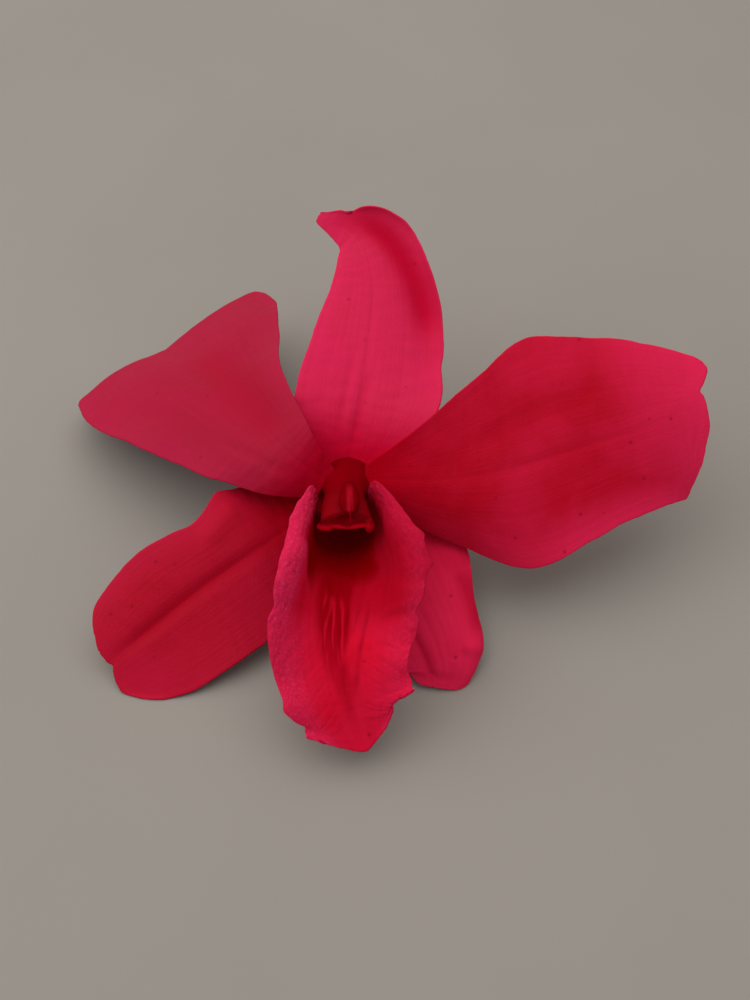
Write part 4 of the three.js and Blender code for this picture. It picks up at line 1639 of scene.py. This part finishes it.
@dataclass
class Perianth:
    """The three sepals and the two petals."""

    dorsal_sepal: Blade = field(default_factory=lambda: Blade(
        name="dorsal_sepal", finish=DORSAL_FINISH, slot="sepal", seed=1.0, cells=(110, 190),
        midrib=(
            (0.1, 0.4, -3.1), (1.2, 7.3, -4), (2.6, 15.8, -6), (3.0, 23.2, -7.5), (1.3, 28.7, -8.5),
            (-3.5, 31.3, -9),
        ),
        left=Half(width=(2, 7.1, 6.7, 4.9, 2.9, 0.6), curl=(20, 10, 5, 0, 0, 0), corner=0.5),
        right=Half(
            width=(2, 6.8, 9.1, 9, 8.3, 7.3, 6.7, 2.8, 0.6), curl=(20, 10, -10, -10, 0, 0),
            roll=(0, 0, 50, 80, 80, 30), corner=0.5,
        ),
        creases=(
            # a crease's dark share is painted shade along its fold; the second crease is painted shade alone
            Crease((0.4, 0.86), (0.88, 0.36), -0.45, 1.4, dark=0.5),
            Crease((0.42, 0.82), (0.96, 0.2), 0.0, 2.1, dark=0.42),
            Crease((0.12, 0.02), (0.34, 0.06), -0.12, 0.6, 0.2),
            Crease((0.14, -0.3), (0.4, -0.25), -0.1, 0.5, 0.15),
        ),
        notches=(
            Notch(Side.RIGHT, 0.885, 0.45, 0.9), Notch(Side.LEFT, 0.2, -0.3, 1.0),
            Notch(Side.RIGHT, 0.36, 0.25, 1.2),
            Notch(Side.RIGHT, 0.72, 0.4, 2.5),
        ),
        root_shade=0.85, root_reach=0.3, pale_rims=(0.6, 0.2, 0.6),
    ))
    left_lateral_sepal: Blade = field(default_factory=lambda: Blade(
        name="left_lateral_sepal", finish=SEPAL_FINISH, slot="sepal", seed=2.0, cells=(120, 180),
        midrib=(
            (-2.8, -2.6, -5), (-6.8, -5.6, -3.4), (-11.5, -8.8, -0.6), (-16.5, -12.4, 1.8),
            (-21.2, -16.2, 2.7),
            (-25.9, -19.9, 2.8),
        ),
        left=Half(width=(1.2, 5.4, 8.5, 9.1, 8.9, 8.1, 5.8), curl=(20, 10, 10, 10, 10, 10)),
        right=Half(
            width=(2.8, 4.8, 6.6, 7.7, 6.7, 7, 7.4, 7, 6, 3.6), curl=(10, -10, -15, -10, -15, -15),
        ),
        creases=(
            Crease((0.25, 0.0), (1.0, 0.0), -0.3, 0.9, dark=0.4),
            Crease((0.3, 0.75), (0.48, 0.55), 0.25, 1.2),
        ),
        notches=(
            Notch(Side.TIP, -0.12, 0.3, 0.08), Notch(Side.TIP, -0.55, -0.7, 0.3),
            Notch(Side.RIGHT, 0.33, -0.4, 1.0),
            Notch(Side.RIGHT, 0.48, 0.3, 1.0), Notch(Side.RIGHT, 0.95, -0.4, 2.0),
        ),
        root_shade=0.95, root_reach=0.47, pale_rims=(0.3, 0.9, 0.4),
    ))
    right_lateral_sepal: Blade = field(default_factory=lambda: Blade(
        name="right_lateral_sepal", finish=SIDE_SEPAL_FINISH, slot="sepal", seed=3.0, cells=(120, 160),
        midrib=(
            (3, -2.8, -5.1), (4.7, -7.2, -3.2), (6.9, -12, 0.2), (9.4, -16.6, 2.4), (10.6, -20.4, 3.1),
            (10.3, -22.7, 3),
        ),
        left=Half(
            width=(2.8, 6.3, 8.2, 7.8, 6.4, 5.6, 3.6, 2.4), curl=(10, -10, -25, -20, -15, -25),
            roll=(0, 0, -20, -60, -60, -20), corner=0.7,
        ),
        right=Half(width=(1.2, 4.4, 7, 7, 5.5, 2.5), curl=(10, 0, -10, -15, -15, -15), corner=1.0),
        creases=(
            Crease((0.45, 0.3), (0.95, 0.3), -0.3, 0.55, dark=0.45),
            Crease((0.4, -0.8), (0.7, -0.85), -0.1, 1.0, 0.5),
            Crease((0.72, -0.45), (0.74, -1.0), 0.3, 0.8),
            Crease((0.86, -0.8), (0.9, 0.3), -0.12, 1.2, 0.12),
        ),
        root_shade=0.85, root_reach=0.65, pale_rims=(0.0, 0.6, 0.0),
    ))
    left_petal: Blade = field(default_factory=lambda: Blade(
        name="left_petal", finish=LEFT_PETAL_FINISH, slot="petal", seed=4.0, cells=(170, 180),
        midrib=(
            (-2, -0.1, -1.2), (-6, 2.8, -0.6), (-9.5, 6.3, -2.5), (-13.3, 9.7, -6.5), (-17.1, 12.7, -12),
            (-20.8, 15.2, -18), (-24.0, 17.4, -24),
        ),
        left=Half(
            width=(2.4, 5.6, 8.4, 10.2, 12.4, 14, 13.4), curl=(-20, -15, 0, -10, -10, -5, 0), corner=1.2,
        ),
        right=Half(
            width=(1.5, 3.4, 4.9, 7.2, 10.8, 14.4, 15.0), curl=(10, 0, -5, -10, -5, 0, 5), corner=2.0,
        ),
        turn=(0, 0, 0, 8, 22, 26, 26),
        bulge=(0, 0, 0, 0, 0, 0.5, 2.4),
        creases=(
            Crease((0.2, 0.0), (0.85, 0.15), -0.7, 3.2, dark=0.3),
            Crease((0.1, -0.3), (0.4, -0.5), -0.12, 0.7),
        ),
        notches=(
            Notch(Side.TIP, -0.14, 0.3, 0.09), Notch(Side.TIP, -0.4, -0.3, 0.2),
            Notch(Side.TIP, 0.85, -0.5, 0.3),
            Notch(Side.TIP, -0.86, 0.5, 0.14), Notch(Side.RIGHT, 0.8, 0.1, 1.2),
        ),
        root_shade=0.9, root_reach=0.24, pale_rims=(1.0, 0.8, 0.7),
    ))
    right_petal: Blade = field(default_factory=lambda: Blade(
        name="right_petal", finish=PETAL_FINISH, slot="petal", seed=5.0, cells=(160, 200),
        midrib=(
            (2.2, 0.2, -1.2), (10.5, 0, 0.5), (17.7, 1, 1.5), (24, 2.8, 1.5), (30, 4.7, 1), (35.2, 6.6, 0),
            (40.6, 8.4, -1.5),
        ),
        left=Half(
            width=(1.5, 7.5, 11.3, 13.3, 12.2, 10.1, 5.0), curl=(20, 10, -5, -15, -20, -20),
            trail=(0, 0, 0, 0, 0, -1.8), corner=1.3,
        ),
        right=Half(
            width=(1.8, 6.9, 11.1, 10.1, 9.1, 9.2, 8.2), curl=(-20, -28, -5, -5, -15, -20),
            trail=(0, 0, 0, 0, 0, 3.8),
        ),
        creases=(
            Crease((0.2, 0.0), (0.7, -0.05), -0.07, 0.9, dark=0.08),
            Crease((0.2, -0.45), (0.7, -0.5), -0.1, 1.5, 0.1),
        ),
        notches=(
            Notch(Side.TIP, -0.36, 0.5, 0.1), Notch(Side.TIP, -0.8, -0.7, 0.3),
            Notch(Side.TIP, 0.6, 0.35, 0.3),
            Notch(Side.LEFT, 0.5, -0.35, 2.5), Notch(Side.LEFT, 0.86, 0.2, 1.2),
            Notch(Side.RIGHT, 0.6, 0.2, 1.4),
            Notch(Side.RIGHT, 0.9, -0.5, 2.0),
        ),
        veins=Veins(midrib=0.02), root_shade=0.6, root_reach=0.3, pale_rims=(0.15, 0.9, 1.0),
    ))

    def build(self) -> None:
        """Builds each blade and dresses it."""
        sepals = (self.dorsal_sepal, self.left_lateral_sepal, self.right_lateral_sepal)
        for blade in (*sepals, self.left_petal, self.right_petal):
            install(blade.build(), blade.name, blade.finish)


@dataclass
class Centre:
    """The lip, the column, the anther cap and the stalk."""

    lip: Lip = field(default_factory=lambda: Lip(
        name="lip", finish=LIP_FINISH, slot="lip", seed=6.0, cells=(220, 200), thickness=0.5,
        midrib=(
            (0.1, -5.6, -3.5), (0.3, -7.1, -0.8), (0.4, -9.6, 3.2), (0.2, -13.5, 7), (0.1, -18.3, 9.6),
            (0.8, -23.3, 10.8), (2.2, -27.5, 11),
        ),
        left=Half(
            width=(1.4, 6.8, 9.8, 10.4, 10.7, 11.2, 9.9, 8.4, 7.2, 7.0, 6.6, 4.9, 3.6), corner=0.8,
            curl=(90, 158, 140, 87, 37, 15, 10), roll=(0, -90, -139, -89, -37, -8, 0),
            trail=(0, 0, 0, 0, 0, 0.5, 2),
        ),
        right=Half(
            width=(1.4, 6.8, 9.8, 10.4, 10.6, 10.4, 9.8, 8.7, 7.7, 7.0, 6.2, 5.2, 4.0), corner=0.8,
            curl=(90, 162, 150, 118, 25, 15, 10), roll=(0, -105, -178, -146, -20, -8, 0),
            trail=(0, 0, 0, 0, 0, 0.5, 2),
        ),
        keels=(0, 0, 0, 0.3, 0.45, 0.0, 0),
        keel_spread=(1, 1, 1.05, 1, 0.6, 0.2, 0.2),
        wave=(0.3, 6),
        notches=(
            Notch(Side.LEFT, 0.385, -0.35, 0.3), Notch(Side.LEFT, 0.445, -0.5, 0.35),
            Notch(Side.LEFT, 0.555, 0.5, 0.5),
            Notch(Side.RIGHT, 0.31, 0.25, 0.7), Notch(Side.RIGHT, 0.56, 0.4, 0.5),
            Notch(Side.RIGHT, 0.82, -0.5, 0.7), Notch(Side.RIGHT, 0.885, 0.5, 0.5),
            Notch(Side.RIGHT, 0.94, -0.35, 0.4),
            Notch(Side.LEFT, 0.74, 0.45, 1.5), Notch(Side.LEFT, 0.87, -0.9, 0.6),
            Notch(Side.LEFT, 0.935, 0.4, 0.4),
            Notch(Side.TIP, 0.0, -0.5, 0.3),
        ),
        veins=Veins(count=3, depth=0.02, midrib=0.0),
        surface=Surface(fray=0.12, dents=0.2, dent_size=4.0, pucker=0.03, pucker_size=0.7),
    ))
    column: Column = field(default_factory=Column)
    anther_cap: AntherCap = field(default_factory=AntherCap)
    stalk: Stalk = field(default_factory=Stalk)

    def build(self) -> None:
        """Builds each piece and dresses it."""
        install(self.lip.build(), self.lip.name, self.lip.finish)
        install(self.column.build(), "column", COLUMN_FINISH)
        install(self.anther_cap.build(), "anther_cap", CAP_FINISH)
        install(self.stalk.build(), "stalk", STALK_FINISH)


@dataclass
class Studio:
    """The pale table top, the soft light and the camera."""

    camera_at: Point = (0.06, -95.10, 117.77)  # in mm
    camera_lean: float = 40.0
    lens: float = 45.0
    near_clip: float = 0.01
    floor_size: float = 4.0
    floor_colour: Colour = (0.262, 0.232, 0.2)
    floor_cloud: Colour = (0.31, 0.275, 0.24)
    floor_cloud_share: float = 0.35
    floor_cloud_scale: float = 14.0
    floor_roughness: float = 0.9
    air_colour: Colour = (0.92, 0.95, 1.0)
    air_strength: float = 0.42

    def build(self) -> None:
        """Builds the floor, the lights and the camera."""
        self._floor()
        self._light("sky", at=(-0.08, 0.16, 0.55), size=1.0, power=4.2, colour=(1.0, 0.985, 0.965))
        self._light("window", at=(-0.35, -0.10, 0.25), size=0.3, power=0.5, colour=(0.94, 0.97, 1.0))
        world = bpy.data.worlds.new("room")
        world.use_nodes = True
        air = world.node_tree.nodes["Background"]
        air.inputs["Color"].default_value = (*self.air_colour, 1.0)
        air.inputs["Strength"].default_value = self.air_strength
        bpy.context.scene.world = world
        bpy.context.scene.view_settings.view_transform = "Standard"
        self._camera()

    def _floor(self) -> None:
        """Lays the pale table top."""
        deselect_all()
        bpy.ops.mesh.primitive_plane_add(size=self.floor_size, location=(0, 0, 0))
        floor = bpy.context.active_object
        floor.name = "table_top"
        material = bpy.data.materials.new("pale_stone")
        material.use_nodes = True
        board = Board(material.node_tree)
        shader = material.node_tree.nodes["Principled BSDF"]
        place = board.add("ShaderNodeTexCoord").outputs["Object"]
        grain = board.grain(place, self.floor_cloud_scale, 4.0)
        cloud = board.ramp(grain, *CLOUD_RANGE, 0.0, self.floor_cloud_share)
        board.feed(shader.inputs["Base Color"], board.blend(cloud, self.floor_colour, self.floor_cloud))
        shader.inputs["Roughness"].default_value = self.floor_roughness
        floor.data.materials.append(material)

    def _light(self, name: str, at: Point, size: float, power: float, colour: Colour) -> None:
        """Adds a square soft light that faces the bloom.

        Args:
            name: The light's name.
            at: Where it is, in metres.
            size: Its side, in metres.
            power: In watts.
            colour: Its colour.
        """
        deselect_all()
        bpy.ops.object.light_add(type="AREA", location=at)
        light = bpy.context.active_object
        light.name = name
        light.data.shape = "SQUARE"
        light.data.size = size
        light.data.energy = power
        light.data.color = colour
        light.rotation_euler = (-Vector(at)).to_track_quat("-Z", "Y").to_euler()

    def _camera(self) -> None:
        """Sets the camera up over the bloom."""
        deselect_all()
        lean = (math.radians(self.camera_lean), 0.0, 0.0)
        bpy.ops.object.camera_add(location=Vector(self.camera_at) * MM, rotation=lean)
        camera = bpy.context.active_object
        camera.data.lens = self.lens
        camera.data.clip_start = self.near_clip
        bpy.context.scene.camera = camera


def main() -> None:
    """Builds the bloom and the studio round it."""
    logging.basicConfig(level=logging.INFO, format="%(name)s %(message)s")
    for assembly in (Perianth(), Centre(), Studio()):
        assembly.build()
        LOG.info("%s built", type(assembly).__name__)


if __name__ == "__main__":
    main()
